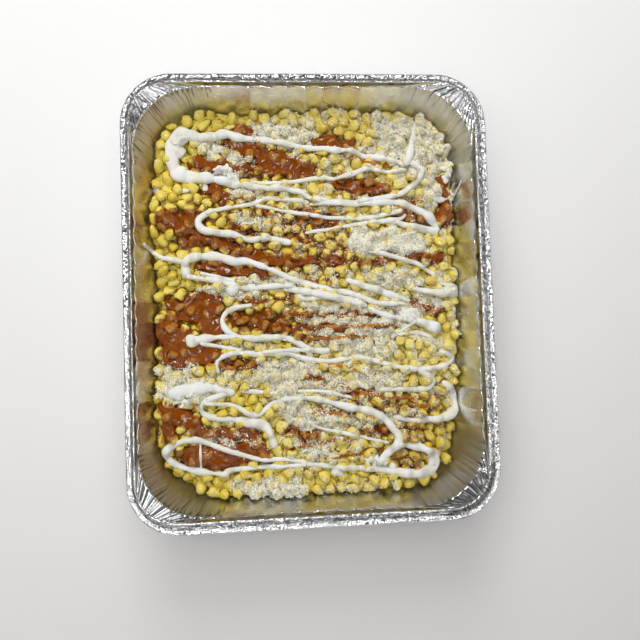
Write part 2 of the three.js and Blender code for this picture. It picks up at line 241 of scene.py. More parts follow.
def ramp_of(tree, value, low, high, to_low=0.0, to_high=1.0):
    """A number taken smoothly from one range to another, held at both ends."""
    inputs = {"Value": value, "From Min": low, "From Max": high, "To Min": to_low, "To Max": to_high}
    return add_node(tree, "ShaderNodeMapRange", inputs, interpolation_type="SMOOTHSTEP").outputs[0]


def mix_of(tree, share, first, second):
    """A colour between two others."""
    mix = add_node(tree, "ShaderNodeMix", data_type="RGBA")
    for socket, value in ((mix.inputs[0], share), (mix.inputs[6], first), (mix.inputs[7], second)):
        if isinstance(value, bpy.types.NodeSocket):
            tree.links.new(value, socket)
        elif isinstance(value, tuple):
            socket.default_value = (*value, 1.0)
        else:
            socket.default_value = value
    return mix.outputs[2]


def bump_of(tree, shader, height, depth_mm, strength=1.0):
    """Bumps depth_mm high where height goes from 0 to 1."""
    inputs = {"Height": height, "Distance": depth_mm * MM, "Strength": strength}
    bump = add_node(tree, "ShaderNodeBump", inputs)
    tree.links.new(bump.outputs["Normal"], shader.inputs["Normal"])


# %% [markdown]
# ## The floor
# A pale sheet lies under the pan. It is one plain square, much larger than the pan, so that low
# views have a floor too. Its colour is painted light: darker towards the near end and paler
# towards the far end, as the light falls off.

# %% Floor
FLOOR_HALF = 1600.0
# Painted light: the near tone is painted shade, the far tone painted light.
FLOOR_NEAR_SHADED = (0.79, 0.775, 0.76)
FLOOR_FAR_LIT = (0.86, 0.855, 0.845)
# The near tone turns into the far one between these two places along the floor, in metres.
FLOOR_TURN = (-0.36, 0.22)

stations = np.linspace(-FLOOR_HALF, FLOOR_HALF, 5)
floor_x, floor_y = np.meshgrid(stations, stations, indexing="xy")
floor_points = np.stack([floor_x, floor_y, np.zeros_like(floor_x)], axis=-1).reshape(-1, 3)
floor = mesh_object("floor", floor_points, [band_faces(5, 5, False)])

floor_finish, tree, shader = new_finish("pale floor", Roughness=0.75)
shader.inputs["Specular IOR Level"].default_value = 0.2
across, ahead, _ = add_node(tree, "ShaderNodeSeparateXYZ", {0: place_of(tree)}).outputs
slope = math_of(tree, "SUBTRACT", ahead, times(tree, across, 0.2))
pale = mix_of(tree, ramp_of(tree, slope, *FLOOR_TURN), FLOOR_NEAR_SHADED, FLOOR_FAR_LIT)
tree.links.new(pale, shader.inputs["Base Color"])
floor.data.materials.append(floor_finish)

# %% [markdown]
# ## The light
# One large soft lamp beyond the far end gives the shadow that spreads towards the near end, and
# a very large one overhead softens it. The room itself is dim above and paler round the horizon,
# which brightens the outside of the pan in low views and leaves its inside alone.

# %% World and lamps
WORLD_DIM = 0.1
WORLD_PALE = 0.5
# Sines of the heights over the horizon between which the pale band fades.
BAND_FADE = (0.08, 0.26)


def build_world():
    """A room with a pale band round the horizon and a dim ceiling: the strength falls with the
    sine of the height over the horizon."""
    world = bpy.data.worlds.new("room")
    scene.world = world
    world.use_nodes = True
    tree = world.node_tree
    background = tree.nodes["Background"]
    background.inputs["Color"].default_value = (1.0, 0.995, 0.985, 1.0)
    heading = add_node(tree, "ShaderNodeTexCoord").outputs["Generated"]
    rise = add_node(tree, "ShaderNodeSeparateXYZ", {0: heading}).outputs[2]
    strength = ramp_of(tree, rise, *BAND_FADE, WORLD_PALE, WORLD_DIM)
    tree.links.new(strength, background.inputs["Strength"])


def soft_lamp(name, place_mm, size_mm, power):
    """A square soft lamp that faces the middle of the pan."""
    data = bpy.data.lights.new(name, "AREA")
    data.size = size_mm * MM
    data.energy = power
    lamp = bpy.data.objects.new(name, data)
    lamp.location = np.array(place_mm) * MM
    spin = math.atan2(place_mm[1], place_mm[0])
    lean = math.atan2(math.hypot(place_mm[0], place_mm[1]), place_mm[2])
    lamp.rotation_euler = (0, lean, spin)
    scene.collection.objects.link(lamp)
    return lamp


build_world()
# Place and size in mm, and power in watts.
LAMPS = {"key lamp": ((-100, 1000, 740), 620, 7.5), "ceiling": ((-300, 200, 1400), 1900, 19.6)}
for name, values in LAMPS.items():
    soft_lamp(name, *values).visible_glossy = False
print("lamps:", ", ".join(LAMPS))

# %% [markdown]
# Foil has hardly a colour of its own and shows what stands round it. As in a studio, white cards
# are set up for it alone: each pleated corner leans inwards, so it shows the card that stands
# across the pan from it. The lamps light the food and stay out of the reflections, and the cards
# do the opposite. The last three cards are small, bright and almost overhead. They make the
# sharp glints on the wet sauce and on the rim, where one large card would only cast a haze.

# %% Reflected cards
CARD_DISTANCE = 1500.0
# Heading from +X, height over the horizon and half width, all in degrees, and brightness.
CARDS = [
    (-38, 50, 13, 1.3),
    (40, 46, 13, 1.05),
    (-141, 57, 11, 1.15),
    (-86, 50, 10, 1.5),
    (172, 54, 7, 1.05),
    (62, 50, 7, 0.8),
    (108, 38, 7, 0.8),
    (22, 58, 7, 1.6),
    (-10, 36, 7, 1.4),
    (158, 36, 6, 0.85),
    (-112, 40, 7, 1.05),
    (95, 76, 2.4, 34.0),
    (-178, 81, 2.8, 34.0),
    (-114, 78, 2.4, 34.0),
]
for heading, rise, half_width, brightness in CARDS:
    level = CARD_DISTANCE * math.cos(math.radians(rise))
    place_mm = (level * math.cos(math.radians(heading)), level * math.sin(math.radians(heading)),
                CARD_DISTANCE * math.sin(math.radians(rise)))
    side = 2 * CARD_DISTANCE * math.tan(math.radians(half_width))
    card = soft_lamp(f"card {heading} {rise}", place_mm, side, brightness * math.pi * (side * MM) ** 2)
    card.visible_diffuse = False
print(f"cards: {len(CARDS)}")

# %% [markdown]
# ## The foil pan
# A foil pan is stamped from flat sheet. The sheet has nowhere to go in the corners, so it
# folds into pleats there, and the long sides are fluted to stiffen them. We take a rounded
# rectangle with the CAD part's sizes, carry it down a profile from floor to rim and back
# outside, and push each point in or out by pleats, flutes and crinkles. A subdivided box
# could not fold like this; a grid of perimeter by profile can.

# %% Sizes of the pan
# Shapes are half widths, half lengths and corner radii.
PAN_DEPTH = 65.0
FOIL = 0.5
RIM_EDGE = (132.0, 162.0, 37.0)
BEAD = 2.8
FLANGE = 9.0
FLANGE_FALL = 1.6
WALL_TOP = (120.5, 150.5, 44.0)
STEP_DROP = 5.5
WALL_FOOT = (104.3, 134.3, 33.0)
FOOT_HEIGHT = 4.5
FLOOR_SHAPE = (99.0, 129.0, 29.0)
wall_z = PAN_DEPTH - STEP_DROP
bead_z = PAN_DEPTH - FLANGE_FALL - BEAD / 2
print(f"wall from {FOOT_HEIGHT} to {wall_z} mm, bead at {bead_z:.1f} mm")


def wall_at(height):
    """Half width, half length and corner radius of the inside of the wall at a height: an even
    change from those of its foot to those of its top."""
    share = (np.asarray(height, dtype=float) - FOOT_HEIGHT) / (wall_z - FOOT_HEIGHT)
    return [low + (high - low) * share for low, high in zip(WALL_FOOT, WALL_TOP)]


def depth_inside(shape, x, y):
    """How far inside a rounded rectangle the points lie; below zero they are outside. Beyond the
    straight parts it is the corner radius less the distance from the corner's middle."""
    over_x = np.abs(x) - (shape[0] - shape[2])
    over_y = np.abs(y) - (shape[1] - shape[2])
    beyond = np.hypot(np.maximum(over_x, 0), np.maximum(over_y, 0))
    return shape[2] - np.where(beyond > 0, beyond, np.maximum(over_x, over_y))


def held_in(points, clear):
    """The points with those nearer to the sloping wall than clear moved straight in from it. At
    each point's height the wall is a rounded rectangle. A point beyond its straight parts lies
    at some distance from them, and that may be the corner's radius less clear at most."""
    half_x, half_y, corner = wall_at(np.clip(points[:, 2], FOOT_HEIGHT, wall_z))
    over = np.abs(points[:, :2]) - np.stack([half_x - corner, half_y - corner], axis=-1)
    over = np.maximum(over, 0)
    beyond = np.maximum(np.hypot(over[:, 0], over[:, 1]), 1e-6)
    excess = np.maximum(beyond - (corner - clear), 0)
    held = points.copy()
    held[:, :2] -= np.sign(points[:, :2]) * over * (excess / beyond)[:, None]
    return held


# %% [markdown]
# Once round the pan is a fixed number of stations. A corner has about as many as a side, though
# it is far shorter, because its folds are narrow. Every ring of the profile has the same
# stations, so the rings join into a grid, whatever their sizes.

# %% The perimeter
SIDE_STATIONS = {"long": 190, "short": 140}
CORNER_STATIONS = 190


def perimeter():
    """Stations once round the pan, anticlockwise: the quarter turn that each belongs to, its
    place from -1 to 1 along a side, and its share from 0 to 1 round a corner. One of the last
    two is used, as on_corner says."""
    quarters, places, shares, corners = [], [], [], []
    for number in range(4):
        side = SIDE_STATIONS["long" if number % 2 == 0 else "short"]
        quarters.append(np.full(side + CORNER_STATIONS, number))
        places.append(np.concatenate([np.linspace(-1, 1, side + 1)[:-1], np.ones(CORNER_STATIONS)]))
        shares.append(np.concatenate([np.zeros(side), np.linspace(0, 1, CORNER_STATIONS + 1)[:-1]]))
        corners.append(np.arange(side + CORNER_STATIONS) >= side)
    return [np.concatenate(part) for part in (quarters, places, shares, corners)]


quarter, side_place, corner_share, on_corner = perimeter()
long_side = quarter % 2 == 0
COUNT = len(quarter)


def outline(shape_x, shape_y, corner):
    """Points and outward headings of a rounded rectangle at every station. On a side a point
    runs along the straight; on a corner it turns about the corner's middle."""
    base = quarter * np.pi / 2
    turn = np.where(on_corner, base + corner_share * np.pi / 2, base)
    reach = np.where(long_side, shape_x, shape_y)
    straight = np.where(long_side, shape_y, shape_x) - corner
    side_x = np.cos(base) * reach - np.sin(base) * side_place * straight
    side_y = np.sin(base) * reach + np.cos(base) * side_place * straight
    corner_x = np.sign(np.cos(base + np.pi / 4)) * (shape_x - corner) + corner * np.cos(turn)
    corner_y = np.sign(np.sin(base + np.pi / 4)) * (shape_y - corner) + corner * np.sin(turn)
    x = np.where(on_corner, corner_x, side_x)
    y = np.where(on_corner, corner_y, side_y)
    return x, y, np.cos(turn), np.sin(turn)


wall_x, wall_y, _, _ = outline(*WALL_TOP)
gaps = np.hypot(np.roll(wall_x, -1) - wall_x, np.roll(wall_y, -1) - wall_y)
along = np.cumsum(gaps) - gaps
ROUND = gaps.sum()
print(f"perimeter at the wall's top: {ROUND:.0f} mm in {COUNT} stations")

# %% [markdown]
# Pleats are narrow grooves at uneven places round each corner, deepest where the step meets
# the wall. Flutes are broad waves along the middle of each side. Both are written as a
# function of the distance round the pan and of the row of the profile.

# %% Places of the folds
CORNER_ARC = WALL_TOP[2] * np.pi / 2


def grooves(at, middles, widths, depths):
    """The sum of smooth grooves round the pan; each falls off as a bell on either side."""
    gap = (at[:, None] - middles[None, :] + ROUND / 2) % ROUND - ROUND / 2
    return (depths[None, :] * np.exp(-(gap / widths[None, :]) ** 2)).sum(axis=1)


def corner_middles(count, jitter, seed, spill=0.04):
    """Groove places: count for each corner, evenly spread and then shaken. They spill over the
    ends of the corner by a share of its length."""
    draw = np.random.default_rng(seed)
    start = np.array([along[(quarter == number) & on_corner][0] for number in range(4)])
    even = (np.arange(count) + 0.5) / count * (1 + 2 * spill) - spill
    shaken = even[None, :] + draw.uniform(-jitter, jitter, (4, count)) / count
    return (start[:, None] + CORNER_ARC * shaken).ravel()


print(f"a corner is {CORNER_ARC:.0f} mm long at the wall's top")

# %% [markdown]
# These folds could be drawn one by one, but there are hundreds and no two are alike. So their
# widths and depths are drawn at random, always from the same seeds. Each kind of fold becomes
# one array with a number for every station.

# %% Pleats, flutes and crimps
FLUTE_PITCH = 14.0
FLUTE_DEPTH = 1.3
FLUTED_HALF = {"long": 105.0, "short": 52.0}
FLUTE_FADE = 8.0
# The first three are counts for each corner, the last one is for the whole flange.
DEEP_PLEATS = 13
FINE_PLEATS = 26
CREASES = 20
CRIMPS = 430


def cornerness():
    """1 round the corners, falling to 0 a little way along the sides."""
    level = np.zeros(COUNT)
    for number in range(4):
        middle = along[(quarter == number) & on_corner][CORNER_STATIONS // 2]
        gap = np.abs((along - middle + ROUND / 2) % ROUND - ROUND / 2)
        level = np.maximum(level, 1 - smooth_step(CORNER_ARC * 0.5, CORNER_ARC * 0.66, gap))
    return level


def flutes():
    """Scallops along the middle of each side, with soft ends: round valleys at 0 between sharp
    ridges at 1, which is one less the size of a sine."""
    straight = np.where(long_side, WALL_TOP[1], WALL_TOP[0]) - WALL_TOP[2]
    half = np.where(long_side, FLUTED_HALF["long"], FLUTED_HALF["short"])
    distance = side_place * straight
    level = 1 - smooth_step(half - FLUTE_FADE, half, np.abs(distance))
    wave = 1 - np.abs(np.sin(np.pi * distance / FLUTE_PITCH + 0.35 * np.sin(distance / 21.0)))
    return np.where(on_corner, 0.0, level * wave), np.where(on_corner, 0.0, level)


in_corner = cornerness()
flute_wave, fluted = flutes()
draw = np.random.default_rng(41)
big = corner_middles(DEEP_PLEATS, 0.3, 42)
pleats_big = grooves(along, big, draw.uniform(0.45, 0.85, big.size), draw.uniform(0.4, 1.3, big.size))
small = corner_middles(FINE_PLEATS, 0.45, 43)
small_widths = draw.uniform(0.28, 0.5, small.size)
pleats_small = grooves(along, small, small_widths, draw.uniform(0.15, 0.75, small.size))
fine = corner_middles(CREASES, 0.5, 44, 0.12)
creases = grooves(along, fine, draw.uniform(0.7, 1.7, fine.size), draw.uniform(-0.75, 0.75, fine.size))
crimp_at = draw.uniform(0, ROUND, CRIMPS)
crimps = grooves(along, crimp_at, draw.uniform(0.3, 0.85, CRIMPS), draw.uniform(-0.42, 0.46, CRIMPS))
print(f"pleats: {big.size} deep, {small.size} fine; {CRIMPS} crimps in the flange")

# %% [markdown]
# Below the step the folded foil is not smooth either. Fine dark folds start at the top of each
# corner's wall and run down it, each to its own depth and a little slanted. They are pressed
# into the surface, and their darkness is painted shade stored with each point, because a closed
# fold swallows the light.
# A pan that was handled is not folded alike all round, so each corner has shares of its own.

# %% Folds down the corner walls
FOLDS = 120
FOLD_LIMIT = 1.3
# How folded each corner's wall is, how dull it is, and how much painted shade its step and flange get.
CORNERS = {
    "far right": (0.5, 0.1, 0.7, 0.0),
    "far left": (1.0, 0.3, 0.35, 0.15),
    "near left": (0.95, 0.75, 1.1, 0.0),
    "near right": (0.3, 0.75, 1.1, 0.75),
}
FOLDED, DULLED, STEP_PAINTED_SHADE, FLANGE_PAINTED_SHADE = np.array(list(CORNERS.values())).T
# The corner that each station lies on, or the nearer one if it lies on a side.
nearest = np.where(on_corner | (side_place > 0), quarter, quarter - 1) % 4

fold_at = corner_middles(FOLDS, 0.5, 47, 0.14)
fold_count = fold_at.size
fold_width = draw.uniform(0.2, 0.55, fold_count)
fold_depth = draw.uniform(0.1, 0.8, fold_count) * np.repeat(FOLDED, FOLDS)
fold_reach = 3.0 + 30.0 * draw.uniform(0, 1, fold_count) ** 3
fold_slant = draw.normal(0, 0.2, fold_count)
fold_sway = draw.uniform(0, 6.28, fold_count)
print(f"folds: {fold_count}, reaching {fold_reach.mean():.0f} mm down on average")


def folds_at(height):
    """The folds at one height: each a bell round the pan, moved on by its slant and its sway,
    and fading out where its reach ends."""
    down = max(wall_z - height, 0.0)
    level = fold_depth * (1 - smooth_step(0.3, 1.0, down / fold_reach))
    moved = fold_at + fold_slant * down + 0.4 * np.sin(down / 2.6 + fold_sway)
    return np.minimum(grooves(along, moved % ROUND, fold_width, level), FOLD_LIMIT)


# %% [markdown]
# The profile is a list of rings with the share of each kind of fold. Between two rings the
# rows are spaced evenly, and the turn from wall to step is rounded, which gives the thin
# bright line that runs round the food.

# %% Profile of the pan
def ring_of(shape, grow, height, rows, **folds):
    """One ring: its rounded rectangle grown by some mm, its height and the shares of pleat,
    crease, flute and crimp; and with it the number of rows that lead up to it."""
    keys = ("pleat", "crease", "flute", "crimp")
    return [*(size + grow for size in shape), height, *(folds.get(key, 0.0) for key in keys)], rows


PROFILE = [
    ring_of(FLOOR_SHAPE, -28, FOIL, 1),
    ring_of(FLOOR_SHAPE, 0, FOIL, 2),
    ring_of(FLOOR_SHAPE, 3.4, FOIL + 1.3, 2, crease=0.3),
    ring_of(WALL_FOOT, 0, FOOT_HEIGHT, 2, crease=0.5, flute=0.2),
    ring_of(wall_at(wall_z - 3), 0.4, wall_z - 3, 13, crease=1.0, flute=0.9, pleat=0.25),
    ring_of(WALL_TOP, 0.6, wall_z - 0.5, 4, crease=0.8, flute=1.0, pleat=0.5),
    ring_of(WALL_TOP, 0.9, wall_z + 0.15, 2, crease=0.3, flute=1.0, pleat=0.7),
    ring_of(WALL_TOP, 1.4, wall_z + 0.35, 2, flute=0.8, pleat=0.9),
    ring_of(RIM_EDGE, -FLANGE - 0.5, PAN_DEPTH - 0.5, 7, flute=0.1, pleat=0.8, crimp=0.3),
    ring_of(RIM_EDGE, -FLANGE + 0.5, PAN_DEPTH, 2, pleat=0.25, crimp=0.8),
    ring_of(RIM_EDGE, -BEAD - 1.0, PAN_DEPTH - FLANGE_FALL - 0.6, 5, crimp=1.0),
]
for turn in np.radians(np.linspace(115, -75, 8)):
    grow = BEAD / 2 * (math.cos(turn) - 1)
    PROFILE.append(ring_of(RIM_EDGE, grow, bead_z + BEAD / 2 * math.sin(turn), 1, crimp=0.4))
PROFILE += [
    ring_of(RIM_EDGE, -FLANGE + 0.7, PAN_DEPTH - FOIL, 3, pleat=0.2, crimp=0.5),
    ring_of(WALL_TOP, 1.4 + FOIL, wall_z + 0.35 - FOIL, 4, flute=0.8, pleat=0.8),
    ring_of(WALL_TOP, 0.4 + FOIL, wall_z - 1.2, 2, crease=0.8, flute=0.9, pleat=0.5),
    ring_of(WALL_FOOT, FOIL, FOOT_HEIGHT - FOIL / 2, 7, crease=0.5, flute=0.2),
    ring_of(FLOOR_SHAPE, 3.6, 0.9, 2, crease=0.3),
    ring_of(FLOOR_SHAPE, 0, 0.0, 1),
    ring_of(FLOOR_SHAPE, -28, 0.0, 1),
]


def profile_rows():
    """Every row of the profile: straight steps between one ring and the next."""
    found = [np.array(PROFILE[0][0])]
    for ring_values, count in PROFILE[1:]:
        start, target = found[-1], np.array(ring_values)
        found += [start + (target - start) * (step + 1) / count for step in range(count)]
    return np.array(found)


rows = profile_rows()
row_x, row_y, row_corner, row_z, pleat, crease, flute, crimp = rows.T[..., None]
print(f"profile: {len(rows)} rows")

# %% [markdown]
# The whole pan is now one array, rows by stations. Thin foil gives way when it is carried full,
# so the wall leans out a little at the left and at the far end. A second array of the same form
# holds painted shade, how dark each point is: foil in a closed fold, in a pleat or under the bead
# shows hardly any light, and these forms are too small to cast such a shade by themselves.

# %% Points of the foil
WALL_LEAN = (2.6, 2.2)
LEAN_FROM = 42.0
flange_x = RIM_EDGE[0] - FLANGE


def wall_folds():
    """The folds of every row, with none of them off the wall."""
    on_wall = smooth_step(0, 0.5, crease) * smooth_step(10, 30, row_z)
    return np.array([folds_at(height) for height in rows[:, 3]]) * on_wall


def foil_points(folds):
    """Perimeter by profile: each ring's outline, pushed in by pleats, creases, flutes and folds
    along its outward heading, and lifted by crimps. A broad wave bends the whole rim a little,
    and the thin wall leans out by WALL_LEAN at the left and at the far end."""
    x, y, out_x, out_y = outline(row_x, row_y, row_corner)
    soft = smooth_step(LEAN_FROM, wall_z, row_z) * smooth_step(128, 122.5, row_x)
    x = x - WALL_LEAN[0] * soft * smooth_step(40, 115, -x)
    y = y + WALL_LEAN[1] * soft * smooth_step(60, 145, y)
    slant = np.arange(len(rows))[:, None] / len(rows) * 1.5
    push = crease * 0.85 * np.interp((along + slant) % ROUND, along, creases) * in_corner
    push -= pleat * (pleats_big + 0.8 * pleats_small) * in_corner
    push -= flute * FLUTE_DEPTH * flute_wave + 0.55 * folds
    lift = crimp * (crimps * (0.35 + 0.65 * fluted) + 0.55 * flute_wave ** 3)
    lift = lift + 0.35 * smooth_step(20, 60, row_z) * np.sin(2 * np.pi * along / ROUND * 3 + 1.0)
    return np.stack([x + push * out_x, y + push * out_y, row_z + lift], axis=-1)


def foil_shade(folds):
    """Painted shade, how dark each point is: the folds of the wall, the pleats of the step with a
    strip along its inner edge, a painted shadow under the bead except at the far end, and two
    corners' flanges."""
    _, y, _, _ = outline(row_x, row_y, row_corner)
    pleated = pleat * in_corner * STEP_PAINTED_SHADE[nearest] * (0.85 * pleats_big + 0.9 * pleats_small)
    on_step = smooth_step(wall_z + 0.3, wall_z + 1.2, row_z)
    on_step = on_step * smooth_step(PAN_DEPTH, PAN_DEPTH - 0.9, row_z)
    strip = on_step * smooth_step(flange_x + 0.2, flange_x - 0.3, row_x) * (1 - in_corner)
    under_bead = smooth_step(RIM_EDGE[0] - 1.0, RIM_EDGE[0] - 0.1, row_x)
    under_bead = under_bead * smooth_step(bead_z + 0.9, bead_z, row_z) * (1 - smooth_step(60, 130, y))
    bead_x = RIM_EDGE[0] - BEAD
    on_flange = smooth_step(flange_x - 0.3, flange_x + 0.6, row_x)
    on_flange = on_flange * smooth_step(bead_x, bead_x - 1.2, row_x)
    # Painted shade on the flanges of two corners.
    flange = on_flange * FLANGE_PAINTED_SHADE[nearest] * in_corner * (0.7 + 0.5 * pleats_small)
    return folds + pleated + flange + 0.8 * strip + 0.75 * under_bead


folds = wall_folds()
grid = foil_points(folds)
print(f"foil: {grid.shape[0]} by {grid.shape[1]} points, {(folds > 0.1).mean():.0%} of them in a fold")

# %% [markdown]
# Thin foil is never flat between its folds. Shallow crinkles are two kinds of wave: one that
# runs over the whole pan and a shorter one on the rim. The base stays flat. Then a fan of
# triangles closes the base on the inside and one closes it below, so that the foil is a closed
# shell with a thickness.

# %% Build the pan
rim_share = np.broadcast_to(smooth_step(0.28, 0.4, crimp), (len(rows), COUNT))
x, y, z = np.moveaxis(grid.copy(), -1, 0)
crinkle = 0.07 * smooth_step(0.5, 6, z) * waves(x + 0.4 * z, y - 0.3 * z, 5.5, 45, 12)
crinkle += 0.12 * rim_share * waves(x, y, 2.6, 46, 14)
grid[..., 2] = np.clip(z + np.where(z > 3, crinkle, 0), 0, PAN_DEPTH)
poles = np.array([[0, 0, FOIL], [0, 0, 0]])
pan_points = np.concatenate([grid.reshape(-1, 3), poles])
pan_faces = outwards(pan_points, closed_faces(len(rows), COUNT))
foil_pan = mesh_object("crinkled_foil_pan", pan_points, pan_faces)


def pan_values(name, values):
    """A number for each point of the pan, and 0 for the two poles."""
    spread = np.broadcast_to(values, (len(rows), COUNT)).ravel()
    point_values(foil_pan, name, np.concatenate([spread, [0, 0]]))


# A painted brownish reflection of the food beside it lies on the inside of the left wall.
inner_rows = int(np.argmax(rows[:, 0]))
painted_reflection = smooth_step(98, 107, -x) * (np.arange(len(rows)) < inner_rows)[:, None]
# The fold values are painted shade: folds, pleats, the step's strip, the bead's underside and two flanges.
pan_values("fold", foil_shade(folds))
pan_values("rim", rim_share)
pan_values("corner", in_corner)
pan_values("dull", in_corner * DULLED[nearest])
pan_values("painted_reflection", painted_reflection)
print(f"inner side: {inner_rows} of {len(rows)} rows")

# %% [markdown]
# Foil is bare aluminium: fully metallic, with a slightly milky reflection because rolling
# leaves fine streaks. The walls were drawn downwards by the die and are scored from top to
# bottom, so what they reflect runs into streaks; the rim stayed bright. So the finish is rougher
# below the step. Folds get painted shade, some corners are duller than others, and the left
# wall gets a painted brownish reflection of the food beside it.

# %% Foil finish
FOIL_BRIGHT = ((0.73, 0.73, 0.735), (0.91, 0.91, 0.915))
FOIL_SCORED = ((0.80, 0.80, 0.785), (0.92, 0.92, 0.90))
FOIL_DULL = (0.52, 0.505, 0.49)
FOIL_PAINTED_REFLECTION = (0.60, 0.49, 0.35)
FOIL_PAINTED_SHADE = (0.17, 0.165, 0.155)
# Heights in metres between which the scored wall turns into the bright rim.
RIM_TURN = (0.0575, 0.0605)

foil_finish, tree, shader = new_finish("bright foil", Metallic=1.0)
where = place_of(tree)
height = add_node(tree, "ShaderNodeSeparateXYZ", {0: where}).outputs[2]
on_rim = ramp_of(tree, height, *RIM_TURN)
tone = ramp_of(tree, noise_of(tree, 9, 4, place=where), 0.3, 0.7)
bright = mix_of(tree, tone, *FOIL_BRIGHT)
scored = mix_of(tree, tone, *FOIL_SCORED)
scored = mix_of(tree, value_of(tree, "dull"), scored, FOIL_DULL)
uneven = ramp_of(tree, noise_of(tree, 26, 3, place=where), 0.3, 0.65, 0.35, 1.0)
# Painted reflection: a brownish tint on the left wall, for the food it faces.
scored = mix_of(tree, times(tree, value_of(tree, "painted_reflection"), uneven), scored, FOIL_PAINTED_REFLECTION)
bare = mix_of(tree, on_rim, scored, bright)
# Painted shade: the higher the fold value, the darker the foil.
painted_shade_share = ramp_of(tree, value_of(tree, "fold"), 0.12, 0.8, 0.0, 0.85)
tree.links.new(mix_of(tree, painted_shade_share, bare, FOIL_PAINTED_SHADE), shader.inputs["Base Color"])

patchy = noise_of(tree, 4, 3, place=where)
wall_rough = ramp_of(tree, patchy, 0.3, 0.75, 0.26, 0.38)
wall_rough = plus(tree, wall_rough, times(tree, value_of(tree, "corner"), 0.16))
rim_rough = ramp_of(tree, patchy, 0.3, 0.75, 0.06, 0.16)
off_rim = math_of(tree, "SUBTRACT", 1.0, on_rim)
rough = plus(tree, times(tree, on_rim, rim_rough), times(tree, off_rim, wall_rough))
tree.links.new(rough, shader.inputs["Roughness"])

# %% [markdown]
# A bump only bends the light, so it serves for what is too fine for the mesh: shallow dents all
# over, crumpled metal on the rim, and the scores of the walls, which are a noise stretched along
# the height.

# %% Bumps of the foil
SCORE_STRETCH = (1.0, 1.0, 0.08)
stretched = add_node(tree, "ShaderNodeVectorMath", {0: where, 1: SCORE_STRETCH}, operation="MULTIPLY")
dents = times(tree, noise_of(tree, 9, 2, 0.5, 0.4, where), 0.8)
scores = times(tree, noise_of(tree, 2.4, 1, 0.5, place=stretched.outputs["Vector"]), 0.1)
crumple_share = plus(tree, times(tree, on_rim, 0.2), times(tree, value_of(tree, "rim"), 2.6))
crumpled = times(tree, noise_of(tree, 3.0, 1, 0.5, 0.6, where), crumple_share)
bump_of(tree, shader, plus(tree, plus(tree, dents, scores), crumpled), 0.45, 0.9)
foil_pan.data.materials.append(foil_finish)
print(f"nodes in the foil: {len(tree.nodes)}")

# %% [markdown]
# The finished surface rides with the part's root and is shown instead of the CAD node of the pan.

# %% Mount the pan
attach(foil_pan, "root")
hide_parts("foil_pan")
print("mounted: the pan")

# %% [markdown]
# ## How high the heap lies
# The food is a heap of loose kernels, a little higher in its middle than at the wall. A spoon
# leaves it uneven, so broad swells and dips are added, deepest at the near corners. The height
# under the top kernels is a plain function of the place.

# %% Height of the heap
HEAP_EDGE = 38.5
HEAP_RISE = 6.0
# Broad swells and dips: middle x, middle y, radius, height.
SWELLS = [
    (58, 40, 34, 2.6),
    (-20, 122, 34, 1.2),
    (-92, -16, 28, -2.6),
    (-62, -112, 26, -2.2),
    (30, -70, 36, 1.4),
    (-95, 60, 26, 1.8),
    (116, -98, 32, -13.0),
    (-118, 62, 30, 8.0),
    (-118, -70, 40, 7.5),
    (116, 10, 45, -2.0),
    (-30, -140, 18, 5.0),
    (-102, -132, 16, -9.0),
    (96, -132, 16, -7.0),
    (30, 136, 17, 4.8),
]


def heap_height(x, y):
    """Height of the heap under its top kernels: an edge height, a dome that falls off with the
    fourth power of x and of y, two gentle waves, and a bell for each swell."""
    half_x, half_y, _ = wall_at(HEAP_EDGE)
    height = HEAP_EDGE + HEAP_RISE * (1 - (x / half_x) ** 4) * (1 - (y / half_y) ** 4)
    height += 0.8 * np.sin(x / 17 + 1.1) * np.cos(y / 21 - 0.4) + 0.5 * np.sin(x / 9 + y / 12 + 2)
    for middle_x, middle_y, radius, rise in SWELLS:
        height += rise * np.exp(-((x - middle_x) ** 2 + (y - middle_y) ** 2) / radius ** 2)
    return height


print(f"heap at its middle: {heap_height(0.0, 0.0):.1f} mm high")

# %% [markdown]
# Everything on the heap is laid on one height map, a grid of small square cells seen from above.
# Each layer reads the map, comes to rest on it and raises it, so kernels, sauce, cheese and
# crema touch one another without any fitting.

# %% The height map
CELL = 0.8
MAP_HALF = (120.0, 150.4)
# The wall is read this much over the heap's height, near the middles of the top kernels.
KERNELS_OVER = 2.5
map_x, map_y = np.meshgrid(np.arange(-MAP_HALF[0], MAP_HALF[0] + CELL / 2, CELL),
                           np.arange(-MAP_HALF[1], MAP_HALF[1] + CELL / 2, CELL), indexing="xy")
heap_top = heap_height(map_x, map_y)
print(f"height map: {map_x.shape[1]} by {map_x.shape[0]} cells")


def sample(field, x, y):
    """The value of a map at any places, weighed from the four cells round each."""
    across = np.clip((x + MAP_HALF[0]) / CELL, 0, field.shape[1] - 1.001)
    up = np.clip((y + MAP_HALF[1]) / CELL, 0, field.shape[0] - 1.001)
    column, row = across.astype(int), up.astype(int)
    right, above = across - column, up - row
    low = (1 - right) * field[row, column] + right * field[row, column + 1]
    high = (1 - right) * field[row + 1, column] + right * field[row + 1, column + 1]
    return (1 - above) * low + above * high


def blurred(field, radius):
    """The map averaged with a bell of that radius in mm, by way of its Fourier transform."""
    pad = int(3 * radius / CELL) + 1
    padded = np.pad(field, pad, mode="edge")
    wave_y = np.fft.fftfreq(padded.shape[0], CELL)[:, None]
    wave_x = np.fft.rfftfreq(padded.shape[1], CELL)[None, :]
    bell = np.exp(-2 * (np.pi * radius) ** 2 * (wave_x ** 2 + wave_y ** 2))
    return np.fft.irfft2(np.fft.rfft2(padded) * bell, padded.shape)[pad:-pad, pad:-pad]


